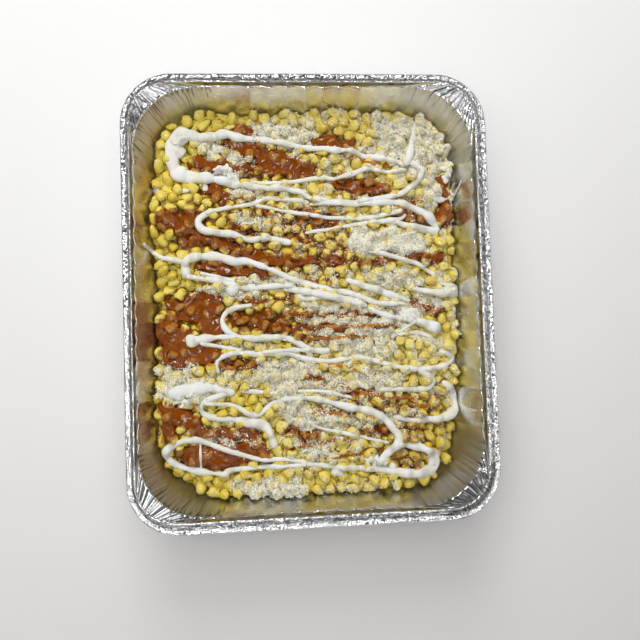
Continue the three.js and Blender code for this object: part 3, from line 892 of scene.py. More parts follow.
def wall_height(x, y):
    """Height of the sloping wall over each place. Both the foot's and the top's outlines are
    known, and the depth inside them falls evenly from one to the other."""
    at_foot = depth_inside(WALL_FOOT, x, y)
    at_top = depth_inside(WALL_TOP, x, y)
    return FOOT_HEIGHT + (wall_z - FOOT_HEIGHT) * -at_foot / (at_top - at_foot)


# How far from the wall each cell lies, and which way leads straight away from it.
room = depth_inside(wall_at(heap_top + KERNELS_OVER), map_x, map_y)
away_y, away_x = np.gradient(room, CELL)
steep = np.hypot(away_x, away_y) + 1e-6
away_x, away_y = away_x / steep, away_y / steep
print(f"{(room > 0).mean():.0%} of the map lies inside the wall")

# %% [markdown]
# ## Sauce, cheese and where they lie
# Chili sauce was spooned on in pools and streaks, and grated cheese was shaken over in beds.
# Each bed is a straight strip with two ends and half a width. The places are shaken by a
# smooth wave before the beds are read, so that no bed has a straight edge.

# %% Beds of sauce
# Two ends and half a width. A sixth number is the bed's strength, where that is below 1.
POOLS = [
    (-55, 117, 1, 95, 7), (-82, 103, -45, 100, 6), (-50, 104, -10, 97, 7), (-70, 84, -64, 75, 6),
    (-55, 127, -39, 127, 4), (6, 118, 32, 115, 5), (23, 84, 53, 79, 3.5), (-82, 26, -31, 20, 4),
    (-100, 0, -71, -2, 8), (-102, -20, -74, -19, 12), (-105, -35, -74, -38, 8),
    (-100, -81, -88, -87, 6), (-85, -94, -42, -98, 4.7), (-105, -78, -104, -94, 5.8),
    (-94, -111, -40, -110, 7), (-80, -115, -55, -115, 6), (105, 89, 105, 79, 5),
    (106, 68, 105, 58, 5), (80, -6, 98, -10, 3), (-104, 59, -88, 51, 3.6), (-88, 51, -51, 36, 3.3),
    (-51, 36, -15, 26, 4), (-15, 26, 21, 28, 2.9), (-107, -42, -95, -46, 3.6),
    (81, 30, 99, 28, 2.9), (-33, 68, -28, 61, 2.6),
]
STREAKS = [
    (21, 28, 54, 26, 1.6), (-52, 0, -15, 1, 1.6), (-58, -12, 0, -11, 2.2),
    (-39, -21, 24, -21, 1.9), (-11, -29, 12, -30, 1.5), (-59, 55, -39, 50, 1.8),
    (-19, 58, -2, 56, 1.5), (-12, 46, 5, 42, 1.8), (0, 16, 14, 12, 1.2), (-1, -11, 62, -13, 1.3),
    (-2, -20, 65, -22, 1.3), (-9, -28, 43, -29, 1.3), (-42, 31, 28, 30, 2), (54, 31, 101, 30, 2.8),
    (72, 72, 85, 72, 2), (43, -99, 53, -99, 2.8), (-1, -82, 20, -83, 1.3),
    (-8, -101, 0, -101, 3.6), (22, -69, 42, -70, 2.8), (-7, -57, 9, -58, 2),
    (-23, -96, -7, -97, 2), (-17, -107, -6, -107, 1.3),
]
# Kernels with a thin coat of sauce.
COATED = [
    (-103, 61, -82, 60, 7), (-89, 46, -59, 45, 6), (-65, -46, -42, -47, 4),
    (-56, -14, -12, -22, 5), (-5, 62, 20, 58, 5), (70, 62, 86, 60, 5), (22, 88, 56, 82, 5),
    (40, -98, 56, -97, 3), (66, -84, 74, -122, 15, 0.38), (92, -74, 98, -100, 8, 0.3),
    (10, -70, 62, -96, 14, 0.3), (-44, 60, 18, 36, 20, 0.3),
]
# Kernels and cheese that stand out of a pool.
ISLANDS = [(-74, 112, -43, 104, 4.4), (-94, -14, -85, -20, 2.9), (-101, 4, -95, 4, 2.9)]
print(f"beds of sauce: {len(POOLS)} pools, {len(STREAKS)} streaks, {len(COATED)} thin coats")

# %% [markdown]
# Cheese was shaken on more or less thickly, so each of its beds has a strength: at 1 it covers
# what lies below, and the weaker it is, the more kernels stand out of it.

# %% Beds of cheese
# Two ends, half a width and strength.
CHEESE = [
    (60, 128, 84, 97, 10, 1.0), (39, 111, 67, 105, 3.6, 0.9), (20, -34, 53, -42, 4, 1.0),
    (-28, -64, -7, -91, 7, 1.0), (-74, 112, -43, 104, 3.6, 1.0), (-17, -59, -11, -102, 7, 1.0),
    (-73, -57, -38, -56, 6, 0.55), (-53, 78, -39, 76, 4.4, 0.6), (-64, -33, -31, -34, 3, 0.6),
    (-112, -49, -92, -46, 6, 0.8), (-80, -108, -60, -106, 3, 0.6), (-61, -132, -40, -137, 4.4, 0.6),
    (22, -89, 52, -94, 4.4, 0.7), (87, -62, 97, -78, 4.4, 0.5), (63, -98, 85, -107, 4.4, 0.5),
    (-34, 127, -8, 122, 9, 0.9), (-8, 124, 6, 124, 7, 0.8), (54, 126, 76, 118, 9, 0.65),
    (20, 112, 68, 108, 4, 0.6), (81, 127, 102, 108, 12, 0.85), (-75, 114, -56, 114, 5, 1.0),
    (-65, 95, -52, 95, 4, 1.0), (-57, 80, -38, 80, 4, 1.0), (-50, 60, -34, 57, 5, 0.9),
    (-30, 58, -11, 58, 4, 0.5), (-83, 7, -40, 6, 4, 0.9), (-49, 15, -11, 14, 4, 0.9),
    (5, -14, 61, -19, 11, 0.9), (7, -29, 50, -32, 6, 0.9), (-36, -51, -6, -53, 8, 0.9),
    (-102, -61, -82, -65, 10, 1.0), (-1, -61, 56, -63, 10, 0.85), (-72, -97, -44, -98, 7, 0.8),
    (-18, -83, 13, -86, 7, 1.0), (-45, -138, -15, -140, 8, 1.0), (-7, -110, 19, -111, 6, 1.0),
    (49, 13, 78, 12, 6, 0.9), (52, -89, 74, -90, 7, 0.9), (76, -32, 96, -37, 6, 0.7),
    (10, -137, 32, -138, 4, 0.6), (93, 72, 99, 98, 5, 1.0), (60, -8, 96, -4, 7, 0.8),
]
# A mound of cheese that buries the kernels.
MOUND = [(36, 42, 80, 40, 8)]
# Where hardly any cheese fell.
BARE = [
    (16, 128, 46, 126, 8), (94, 46, 102, 38, 6), (-6, 52, 6, 42, 6), (96, -16, 106, -34, 7),
    (72, -32, 86, -38, 4), (74, -96, 90, -104, 5), (2, -132, 92, -128, 7), (18, -110, 27, -118, 5),
    (14, -50, 24, -56, 5), (30, 50, 36, 30, 4),
]
print(f"beds of cheese: {len(CHEESE)}, and {len(BARE)} bare places")

# %% [markdown]
# Every bed becomes a map of shares, up to 1 where it lies and 0 elsewhere. A place can have a
# share in several: a coat of sauce reaches further than the pool it comes from, cheese shows
# little on streaks of sauce, and some cheese was scattered beyond its beds over the right half.

# %% Shares of sauce and cheese
def bed_share(beds, x, y, soft):
    """1 on a bed, 0 off it, with an edge soft mm wide. A place's distance from a bed is the one
    to the nearest point of its middle line, less half the width; the largest share counts."""
    share = np.zeros(np.broadcast(x, y).shape)
    for start_x, start_y, end_x, end_y, half_width, *strength in beds:
        run_x, run_y = end_x - start_x, end_y - start_y
        near = ((x - start_x) * run_x + (y - start_y) * run_y) / (run_x ** 2 + run_y ** 2)
        near = np.clip(near, 0, 1)
        gap = np.hypot(x - start_x - near * run_x, y - start_y - near * run_y) - half_width
        level = strength[0] if strength else 1.0
        share = np.maximum(share, level * (1 - smooth_step(-soft / 2, soft / 2, gap)))
    return share


shaken_x = map_x + 1.8 * waves(map_x, map_y, 19, 101) + 0.9 * waves(map_x, map_y, 8, 102)
shaken_y = map_y + 1.5 * waves(map_x, map_y, 17, 103) + 0.8 * waves(map_x, map_y, 7, 104)
off_islands = 1 - bed_share(ISLANDS, shaken_x, shaken_y, 3)
pool_share = bed_share(POOLS, shaken_x, shaken_y, 3.5) * off_islands
streak_share = bed_share(STREAKS, shaken_x, shaken_y, 2.5)
coated_share = bed_share(COATED, shaken_x, shaken_y, 6) * off_islands
coat_share = np.maximum(coated_share, bed_share(POOLS + STREAKS, shaken_x, shaken_y, 9) * off_islands)
stray = smooth_step(-60, 5, map_x)
scattered = 0.7 * stray * smooth_step(-0.1, 1.0, waves(map_x, map_y, 17, 106)) * (1 - coat_share)
cheese_share = np.maximum(bed_share(CHEESE, shaken_x, shaken_y, 9), scattered)
cheese_share *= 1 - 0.8 * streak_share
cheese_share *= 1 - 0.9 * bed_share(BARE, shaken_x, shaken_y, 6)
mound_share = bed_share(MOUND, shaken_x, shaken_y, 5)
inside = room > 0
print(f"pools cover {pool_share[inside].mean():.0%}, streaks {streak_share[inside].mean():.0%}, "
      f"cheese {cheese_share[inside].mean():.0%} of the heap")

# %% [markdown]
# ## The kernels
# A cut kernel is a rounded wedge: broad and dimpled at the crown, narrower at the tip, a
# little flat on its germ side. A particle system would scatter copies that hang in the air or
# cut through one another. Instead each kernel is dropped on the height map. It tries a few
# places and takes the lowest, rolls downhill in ever shorter strides, comes to rest and raises
# the map by its own back. Only those that still show from above are built.

# %% Sizes and turns of the kernels
KERNEL_HALF = (4.3, 5.0, 3.3)
KERNEL_SPREAD = 0.13
KERNEL_LIMITS = (0.72, 1.25)
DROPS = 3400
LEAN_SPREAD = 27
ROLL_SPREAD = 38


def kernel_turns(draw, count):
    """Turning matrices: any heading, then a lean along the length and a roll about it."""
    heading = draw.uniform(0, 2 * np.pi, count)
    lean = draw.normal(0, math.radians(LEAN_SPREAD), count)
    roll = draw.normal(0, math.radians(ROLL_SPREAD), count)
    zero, one = np.zeros(count), np.ones(count)

    def matrix(*entries):
        """Nine entries for every kernel as matrices of three by three."""
        return np.stack(entries, axis=-1).reshape(count, 3, 3)

    about_z = matrix(np.cos(heading), -np.sin(heading), zero,
                     np.sin(heading), np.cos(heading), zero, zero, zero, one)
    about_x = matrix(one, zero, zero, zero, np.cos(lean), -np.sin(lean),
                     zero, np.sin(lean), np.cos(lean))
    about_y = matrix(np.cos(roll), zero, np.sin(roll), zero, one, zero,
                     -np.sin(roll), zero, np.cos(roll))
    return about_z @ about_x @ about_y


draw = np.random.default_rng(7)
kernel_halves = np.array(KERNEL_HALF) * draw.normal(1, KERNEL_SPREAD, (DROPS, 3)).clip(*KERNEL_LIMITS)
turns = kernel_turns(draw, DROPS)
print(f"kernels to drop: {DROPS}, {2 * kernel_halves[:, 1].mean():.1f} mm long on average")

# %% [markdown]
# While it falls, a kernel counts as an ellipsoid. Its lower side over each cell is compared with
# the map, and the cell where the two are closest decides how high it rests. One that would lie
# too high is left out, and so is one that would cut the wall.

# %% Where a kernel rests
KERNEL_SINK = 0.95
WALL_CLEAR = 0.8
REACH = 8
FAR = 99.0


def window_of(field, row, column):
    """The square part of a map round one cell that a kernel can reach."""
    return field[row - REACH:row + REACH + 1, column - REACH:column + REACH + 1]


def rest_height(top, under, span, row, column):
    """Height over the heap at which a kernel would rest with its middle over a cell: the most
    that the map stands over its lower side, less what kernels press into one another. How far
    it reaches towards the wall is the root of out.S.out, where out leads straight to the wall
    and S is the turned matrix of the half sizes squared. If it reaches the wall, it is FAR."""
    out = np.array([away_x[row, column], away_y[row, column]])
    if room[row, column] < math.sqrt(out @ span[:2, :2] @ out) + WALL_CLEAR:
        return FAR
    return (window_of(top, row, column) - under).max() - KERNEL_SINK - heap_top[row, column]


def lowest_rest(top, under, span, cells):
    """The lowest height at which a kernel would rest over one of the cells, and that cell."""
    return min((rest_height(top, under, span, *cell), *cell) for cell in cells)


print(f"a kernel reaches {REACH * CELL:.1f} mm from its middle at most")

# %% [markdown]
# The kernels fall one after another into an empty bed. Each tries a few places at random, then
# looks in eight directions for a lower one, first some cells away and at last only one.

# %% Drop the kernels
BED_DROP = 11.0
KERNEL_CEILING = 1.5
CEILING_SPREAD = 0.55
TRIES = 3
ROLLS = (4, 4, 3, 3, 2, 2, 1, 1, 1)
COMPASS = ((0, 1), (1, 1), (1, 0), (1, -1), (0, -1), (-1, -1), (-1, 0), (-1, 1))


def settle(turns, halves, seed):
    """Drops the kernels one by one and returns their middles, which of them lie in the heap,
    the final height map, and the kernel that shows in each cell. A kernel's lower and upper
    heights over a cell solve the quadratic p.M.p = 1, where M is the turned matrix of one over
    the half sizes squared."""
    draw = np.random.default_rng(seed)
    top = heap_top - BED_DROP
    shown = np.full(top.shape, -1)
    ceilings = KERNEL_CEILING + draw.normal(0, CEILING_SPREAD, len(turns))
    forms = np.einsum("nij,nj,nkj->nik", turns, 1 / halves ** 2, turns)
    spans = np.einsum("nij,nj,nkj->nik", turns, halves ** 2, turns)
    offset = np.arange(-REACH, REACH + 1) * CELL
    near_x, near_y = np.meshgrid(offset, offset, indexing="xy")
    free_rows, free_columns = np.nonzero(room > halves.min() + 0.5)
    middles = np.zeros((len(turns), 3))
    kept = np.zeros(len(turns), dtype=bool)
    for index, (form, span, ceiling) in enumerate(zip(forms, spans, ceilings)):
        cross = form[0, 2] * near_x + form[1, 2] * near_y
        rest = form[0, 0] * near_x ** 2 + 2 * form[0, 1] * near_x * near_y + form[1, 1] * near_y ** 2 - 1
        root = cross ** 2 - form[2, 2] * rest
        covers = root > 0
        root = np.sqrt(np.maximum(root, 0))
        under = np.where(covers, (-cross - root) / form[2, 2], FAR)
        over = np.where(covers, (-cross + root) / form[2, 2], -FAR)
        picks = draw.integers(0, len(free_rows), TRIES)
        tries = [(free_rows[pick], free_columns[pick]) for pick in picks]
        level, row, column = lowest_rest(top, under, span, tries)
        for stride in ROLLS:
            around = [(row + stride * up, column + stride * right) for up, right in COMPASS]
            lowest = lowest_rest(top, under, span, around)
            if lowest[0] < level:
                level, row, column = lowest
        if level > ceiling:
            continue
        height = level + heap_top[row, column]
        window = window_of(top, row, column)
        raised = height + over > window
        window[raised] = (height + over)[raised]
        window_of(shown, row, column)[raised] = index
        middles[index] = (map_x[row, column], map_y[row, column], height)
        kept[index] = True
    return middles, kept, top, shown


kernel_middles, kept, kernel_top, shown = settle(turns, kernel_halves, 8)
visible, cells = np.unique(shown[shown >= 0], return_counts=True)
visible = visible[cells > 2]
over_heap = (kernel_top - heap_top)[room > 3]
print(f"kernels at rest: {kept.sum()}, of which {len(visible)} show; their backs lie from "
      f"{np.percentile(over_heap, 5):.1f} to {np.percentile(over_heap, 95):.1f} mm over the heap's height")

# %% [markdown]
# ## What each kernel looks like
# A kernel's colour depends on what lies on it and beside it: a coat of sauce, a tinge of sauce
# that spread through the butter, a dust of cheese, and its depth under its neighbours' backs.
# These are maps too, and are stored with the points of the kernels for the materials to read.

# %% Maps for the finishes
def near_right_at(x, y):
    """1 in the near right corner, where kernels and grains get darker tones and less cheese fell, else 0."""
    return smooth_step(15, 78, x) * smooth_step(-42, -98, y)


def carried(radius):
    """The kernels' backs averaged with a bell. Only cells where kernels lie are counted, so the
    average carries on level up to the wall instead of falling off."""
    there = (room > 2.2).astype(float)
    return blurred(kernel_top * there, radius) / np.maximum(blurred(there, radius), 0.001)


kernel_back = carried(2.6)
uneven_coat = 0.25 * waves(map_x, map_y, 6, 105) * smooth_step(0.05, 0.4, coat_share)
kernel_coat = np.clip(1.15 * coat_share + uneven_coat, 0, 1)
tinge = blurred(coat_share, 9) * (1 - 0.5 * mound_share)
near_right = near_right_at(map_x, map_y)
dust_share = np.clip(0.8 * cheese_share + 0.22 * stray, 0, 1) * (1 - 0.6 * near_right)
print(f"sauce coats {(kernel_coat[inside] > 0.35).mean():.0%} of the heap")

# %% [markdown]
# Each kernel that shows is a ring-by-ring form of a few dozen faces. The form is worked out
# once, and all kernels are made from it in one array: stretched, made uneven by two slow
# waves round their length, turned and moved.

# %% Form of a kernel
KERNEL_COLUMNS = 10
KERNEL_RINGS = 5


def ball_grid(columns, rings):
    """Angles of a ball's points, from one pole to the other, and its closed faces."""
    polar = np.linspace(0, np.pi, rings + 2)[1:-1]
    turn = np.arange(columns) * 2 * np.pi / columns
    polar, turn = [part.ravel() for part in np.meshgrid(polar, turn, indexing="ij")]
    polar = np.concatenate([polar, [0, np.pi]])
    turn = np.concatenate([turn, [0, 0]])
    return polar, turn, closed_faces(rings, columns)


def copies(faces, points_each, count):
    """The faces of count copies of one form, whose points follow one another."""
    shift = np.arange(count)[:, None, None] * points_each
    return [(part[None] + shift).reshape(-1, part.shape[1]) for part in faces]


def boxed(value, power=0.76):
    """The value with its size raised to a power below one, which squares a ball's cosines."""
    return np.sign(value) * np.abs(value) ** power


def kernel_form():
    """A unit kernel: a squared ball whose width grows towards the crown, with a dimple in the
    crown and a flatter germ side."""
    polar, turn, faces = ball_grid(KERNEL_COLUMNS, KERNEL_RINGS)
    length = boxed(np.cos(polar))
    width = boxed(np.sin(polar)) * (1 + 0.22 * length)
    dimple = 0.2 * np.exp(-(np.sin(polar) / 0.45) ** 2) * (length > 0)
    side = boxed(np.sin(turn))
    across = width * boxed(np.cos(turn))
    thick = width * side * np.where(side < 0, 0.85, 1.0)
    points = np.stack([across, length - dimple, thick], axis=-1)
    return 0.95 * points, turn, outwards(points, faces)


form_points, form_turn, form_faces = kernel_form()
print(f"form of a kernel: {len(form_points)} points")

# %% [markdown]
# Bare kernels and kernels under sauce are two pieces, because they are two kinds of surface.
# The lightest ones are left out of the near right corner.

# %% Build the kernels
KERNEL_CLEAR = 1.2
SAUCED_FROM = 0.35


def kernels(name, chosen, seed):
    """All chosen kernels as one mesh: form times half sizes, swollen by cos 2u and cos 3u with
    random phases, turned and moved to where each came to rest."""
    draw = np.random.default_rng(seed)
    swell = 1 + 0.06 * np.cos(2 * form_turn[None] + draw.uniform(0, 6.28, (len(chosen), 1)))
    swell += 0.04 * np.cos(3 * form_turn[None] + draw.uniform(0, 6.28, (len(chosen), 1)))
    local = form_points[None] * kernel_halves[chosen][:, None] * swell[..., None]
    places = np.einsum("nij,npj->npi", turns[chosen], local) + kernel_middles[chosen][:, None]
    places = held_in(places.reshape(-1, 3), KERNEL_CLEAR)
    piece = mesh_object(name, places, copies(form_faces, len(form_points), len(chosen)))
    darker = 0.7 * near_right_at(kernel_middles[chosen, 0], kernel_middles[chosen, 1])
    tint = np.repeat(draw.uniform(0, 1, len(chosen)) * (1 - darker), len(form_points))
    point_values(piece, "tint", tint)
    x, y, z = places.T
    for value, field in (("coat", kernel_coat), ("tinge", tinge), ("dust", dust_share)):
        point_values(piece, value, sample(field, x, y))
    point_values(piece, "depth", sample(kernel_back, x, y) - z)
    return piece


coat_at = sample(kernel_coat, kernel_middles[visible, 0], kernel_middles[visible, 1])
bare_kernels = kernels("bare_kernels", visible[coat_at < SAUCED_FROM], 11)
sauced_kernels = kernels("sauced_kernels", visible[coat_at >= SAUCED_FROM], 12)

# %% [markdown]
# Under the loose kernels lies the rest of the heap, which nobody sees in full. It is one
# closed core, the colour of corn in shade, that follows the wall and ends below the kernels.

# %% Core of the heap
CORE_SKIP = 6
CORE_GAP = 0.9
CORE_FLOOR = 1.4
CORE_FOOT = 6.0
CORE_RINGS = 34
CORE_BELOW = BED_DROP - 3.2


def heap_core():
    """Rings of the pan's own outline: out over the floor, up along the wall, and inwards over
    the top, where every point takes the height of the map less what the kernels fill."""
    keep = slice(None, None, CORE_SKIP)
    edge_x, edge_y, _, _ = outline(*wall_at(30.0))
    climb = heap_height(edge_x, edge_y) - CORE_BELOW - CORE_FOOT
    rings = [(FLOOR_SHAPE, np.full(COUNT, CORE_FLOOR))]
    for share in (0, 0.35, 0.7, 1):
        rings.append((wall_at(CORE_FOOT + climb * share), CORE_FOOT + climb * share))
    points = []
    for shape, height in rings:
        x, y, _, _ = outline(*(size - CORE_GAP for size in shape))
        points.append(np.stack([x[keep], y[keep], height[keep]], axis=-1))
    rim_x, rim_y, rim_z = points[-1].T
    for share in np.linspace(1, 0, CORE_RINGS)[1:-1]:
        x, y = rim_x * share, rim_y * share
        top_z = heap_height(x, y) - CORE_BELOW + 0.8 * waves(x, y, 7, 107)
        points.append(np.stack([x, y, rim_z + (top_z - rim_z) * smooth_step(1, 0.94, share)], axis=-1))
    poles = np.array([[0, 0, CORE_FLOOR], [0, 0, heap_height(0.0, 0.0) - CORE_BELOW]])
    faces = closed_faces(len(points), len(rim_x))
    points = np.concatenate([*points, poles])
    return mesh_object("heap_core", points, outwards(points, faces))


core = heap_core()
# A depth of 4 gives the core the corn's full painted shade.
for value, name in ((0.5, "tint"), (0.0, "coat"), (0.0, "dust"), (4.0, "depth"), (0.2, "tinge")):
    point_values(core, name, np.full(len(core.data.vertices), value))

# %% [markdown]
# ## Skins of sauce and cheese
# Dressing, sauce and fine cheese flow together, so each is one skin. As a height map it is the
# kernels' backs, smoothed, and lifted by its share. Only the cells where it shows are kept, with
# a lower face and an edge, so it is a thin closed shell. A fluid simulation could reach such a
# form too, but in minutes, and with no say in where each pool ends.

# %% Skin helpers
def skin(name, top, thickness, where):
    """A closed skin over the cells of a map where 'where' holds at all four corners: its top,
    its underside a thickness lower, and an upright edge along every border."""
    solid = where[:-1, :-1] & where[1:, :-1] & where[:-1, 1:] & where[1:, 1:]
    beside = np.pad(solid, 1)
    rows, columns = np.nonzero(solid)
    width = where.shape[1]
    a = rows * width + columns
    corners = np.stack([a, a + 1, a + 1 + width, a + width], axis=-1)
    size = where.size
    faces = [corners, corners[:, ::-1] + size]
    sides = ((-1, 0, 0, 1), (0, 1, 1, 2), (1, 0, 2, 3), (0, -1, 3, 0))
    for row_step, column_step, start, end in sides:
        border = ~beside[rows + 1 + row_step, columns + 1 + column_step]
        first, second = corners[border, start], corners[border, end]
        faces.append(np.stack([second, first, first + size, second + size], axis=-1))
    faces = np.concatenate(faces)
    points = np.concatenate([np.stack([map_x, map_y, top], axis=-1).reshape(-1, 3),
                             np.stack([map_x, map_y, top - thickness], axis=-1).reshape(-1, 3)])
    used, renamed = np.unique(faces, return_inverse=True)
    points = held_in(points[used], KERNEL_CLEAR)
    return mesh_object(name, points, outwards(points, [renamed.reshape(-1, 4)])), points


def layer_top(back, relief, stand, dive, share):
    """Top of a layer: a smooth map of the kernels' backs, given back a part of its relief, with
    the layer standing over it in the middle of a bed and diving under it at the edge."""
    return back + relief * (fine_back - back) + stand - dive * (1 - share)


fine_back = carried(0.75)
broad_back = carried(5.0)
print(f"backs of the kernels: {np.abs(fine_back - broad_back)[inside].mean():.1f} mm of relief")

# %% [markdown]
# Butter, crema and crumbs make a thick dressing that fills the gaps between kernels almost to
# their backs. It shows wherever no kernel stands over it, and sinks away before the wall.

# %% Dressing between the kernels
DRESSING_SKIN = 1.0
DRESSING_DEPTH = 0.3
dressing_top = carried(1.8) - DRESSING_DEPTH + 0.22 * waves(map_x, map_y, 3.2, 114, 10)
dressing_top += 0.1 * stray - 0.9 * near_right - 3.0 * smooth_step(4.5, 0.5, room)
dressing_here = (dressing_top > kernel_top - 0.5) & (room > 0.2)
dressing, dressing_points = skin("dressing", dressing_top, DRESSING_SKIN, dressing_here)
for value, field in (("coat", kernel_coat), ("dust", dust_share), ("tinge", tinge)):
    point_values(dressing, value, sample(field, dressing_points[:, 0], dressing_points[:, 1]))

# %% [markdown]
# Chili sauce is runny. In a pool it levels out over the kernels and hardly shows their backs.
# In a streak it is thinner and the backs show through, and as a coat it only follows them.

# %% Chili sauce
SAUCE_SKIN = 1.2
pool_top = layer_top(broad_back, 0.08, 2.2, 5.5, pool_share) + 0.25 * waves(map_x, map_y, 9, 108)
streak_top = layer_top(kernel_back, 0.6, 0.9, 4.5, streak_share)
coated_top = layer_top(kernel_back, 0.7, 0.35, 4.0, coated_share)
sauce_top = np.maximum(np.maximum(pool_top, streak_top), coated_top)
sauce_share = np.maximum(np.maximum(pool_share, streak_share), coated_share)
sauce_here = (sauce_top > kernel_top - 0.9) & (sauce_share > 0.12) & (room > 0.5)
sauce, _ = skin("chili_sauce", sauce_top, SAUCE_SKIN, sauce_here)
food_top = np.maximum(fine_back, np.where(sauce_here, sauce_top, -FAR))

# %% [markdown]
# Cheese as fine as this lies like snow: the same kind of skin, but rough, and broken up into
# patches at its edges. In one place it is heaped into a mound. Loose grains follow later.

# %% Beds of grated cheese
CHEESE_SKIN = 1.1
patches = 0.5 + 0.3 * waves(map_x, map_y, 7, 109) + 0.25 * waves(map_x, map_y, 3.6, 110)
grain = 0.38 * waves(map_x, map_y, 2.2, 111, 12) + 0.22 * waves(map_x, map_y, 4.5, 112)
cheese_bed = np.clip(cheese_share * 1.1 + (patches - 0.7) * 1.1, 0, 1)
bed_top = layer_top(kernel_back, 0.35, 1.7, 4.7, cheese_bed) + grain
mound_top = layer_top(kernel_back, 0.15, 2.6, 6.6, mound_share) + 0.8 * grain
cheese_top = np.maximum(bed_top, mound_top)
cheese_here = (cheese_top > food_top - 0.35) & (room > 0.8)
cheese_here &= np.maximum(cheese_share, mound_share) > 0.15
cheese, cheese_points = skin("grated_cheese", cheese_top, CHEESE_SKIN, cheese_here)
point_values(cheese, "hollow", sample(-grain, cheese_points[:, 0], cheese_points[:, 1]))
food_top = np.maximum(food_top, np.where(cheese_here, cheese_top, -FAR))

# %% [markdown]
# ## Ropes and drops
# Sauce that runs out in a thread and crema squeezed from a bottle are both ropes: an oval
# section carried along a smooth path that is draped over the height map. After each rope the
# map is raised, so the next one rides over it where they cross. Curves with a bevel would give
# round tubes of one width, and these swell where the hand slowed down.

# %% Path of a rope
ROPE_STEP = 1.1


def smooth_path(points):
    """Evenly spaced places on a Catmull-Rom curve through the points, ROPE_STEP mm apart, with
    a few more near both ends for their round caps; and how far along the path each one lies."""
    points = np.array(points, dtype=float)
    knots = np.concatenate([[2 * points[0] - points[1]], points, [2 * points[-1] - points[-2]]])
    share = np.linspace(0, 1, 24, endpoint=False)[:, None, None]
    a, b, c, d = knots[:-3], knots[1:-2], knots[2:-1], knots[3:]
    curve = 0.5 * (2 * b + (c - a) * share + (2 * a - 5 * b + 4 * c - d) * share ** 2
                   + (3 * b - a - 3 * c + d) * share ** 3)
    curve = np.concatenate([curve.transpose(1, 0, 2).reshape(-1, 2), points[-1:]])
    travel = np.concatenate([[0], np.cumsum(np.hypot(*np.diff(curve, axis=0).T))])
    cap = 1.5 * (1 - np.cos(np.radians([25, 45, 65, 85])))
    clear = cap[-1] + 0.6
    middle = np.linspace(clear, travel[-1] - clear, max(3, int(travel[-1] / ROPE_STEP)))
    stops = np.concatenate([[0], cap, middle, travel[-1] - cap[::-1], [travel[-1]]])
    return np.stack([np.interp(stops, travel, curve[:, axis]) for axis in range(2)], axis=-1), stops


print(f"a path 50 mm long has {len(smooth_path([(0, 0), (50, 0)])[1])} places")

# %% [markdown]
# A rope bends more softly than the ground under it, so its line is eased. Then the oval section
# is swept along it as whole arrays, every ring at once, and closed with a pole at either end.

# %% Sweep a rope
ROPE_SIDES = 14
ROPE_TALLEST = 4.8


def eased(values, stops, radius):
    """Values along a path, averaged with a bell of that radius in mm."""
    weight = np.exp(-((stops[:, None] - stops[None, :]) / radius) ** 2)
    return weight @ values / weight.sum(axis=1)


def raise_map(ground, points):
    """Raises each cell under the points to the highest of them."""
    column = np.round((points[:, 0] + MAP_HALF[0]) / CELL).astype(int)
    row = np.round((points[:, 1] + MAP_HALF[1]) / CELL).astype(int)
    np.maximum.at(ground, (row, column), points[:, 2])


def ribbon(widths, path, ground, seed, flat_share):
    """Points and faces of one rope. Its line follows the ground, eased along the way and lifted
    where the ground would stand through it. Its oval section lies square to the line, wider
    than tall and flatter below, and shrinks as a circle does towards both ends."""
    places, stops = smooth_path(path)
    x, y = places.T
    wide = np.interp(stops / stops[-1], np.linspace(0, 1, len(widths)), widths)
    wide *= 1 + 0.17 * waves(stops, stops * 0, 14, seed, 4) + 0.04 * waves(stops, stops * 0, 6, seed + 1, 4)
    tall = np.minimum(flat_share * wide, ROPE_TALLEST)
    below = sample(ground, x, y)
    line_z = eased(below, stops, 2.6)
    line_z = np.maximum(line_z, eased(np.maximum(below, line_z), stops, 1.6)) + 0.22 * tall
    line = np.stack([x, y, line_z], axis=-1)
    ahead = np.gradient(line, axis=0)
    ahead /= np.linalg.norm(ahead, axis=1, keepdims=True)
    flat = np.stack([-ahead[:, 1], ahead[:, 0], np.zeros(len(line))], axis=-1)
    flat /= np.linalg.norm(flat, axis=1, keepdims=True)
    up = np.cross(ahead, flat)
    end = np.minimum(stops, stops[-1] - stops) / (wide / 2)
    closing = np.sqrt(np.clip(1 - (1 - np.clip(end, 0, 1)) ** 2, 0, 1))[1:-1]
    turn = np.arange(ROPE_SIDES) * 2 * np.pi / ROPE_SIDES
    flatter = np.where(np.sin(turn) < 0, 0.75, 1.0)
    out = (wide[1:-1] * closing / 2)[:, None] * np.cos(turn)[None]
    rise = (tall[1:-1] * closing / 2)[:, None] * (np.sin(turn) * flatter)[None]
    rings = line[1:-1, None] + out[..., None] * flat[1:-1, None] + rise[..., None] * up[1:-1, None]
    points = np.concatenate([rings.reshape(-1, 3), line[:1], line[-1:]])
    raise_map(ground, rings.reshape(-1, 3))
    return points, outwards(points, closed_faces(len(rings), ROPE_SIDES))


print(f"ropes have {ROPE_SIDES} sides and are {ROPE_TALLEST} mm tall at most")

# %% [markdown]
# Where the bottle stops or spits it leaves a drop. Each is a flattened ball, half fitted to the
# ground below it, and a splash is a number of small ones.

# %% Drops
ROPE_CLEAR = 0.8
DROP_TALLEST = 2.9
DROP_SIZES = (3.4, 6.2)


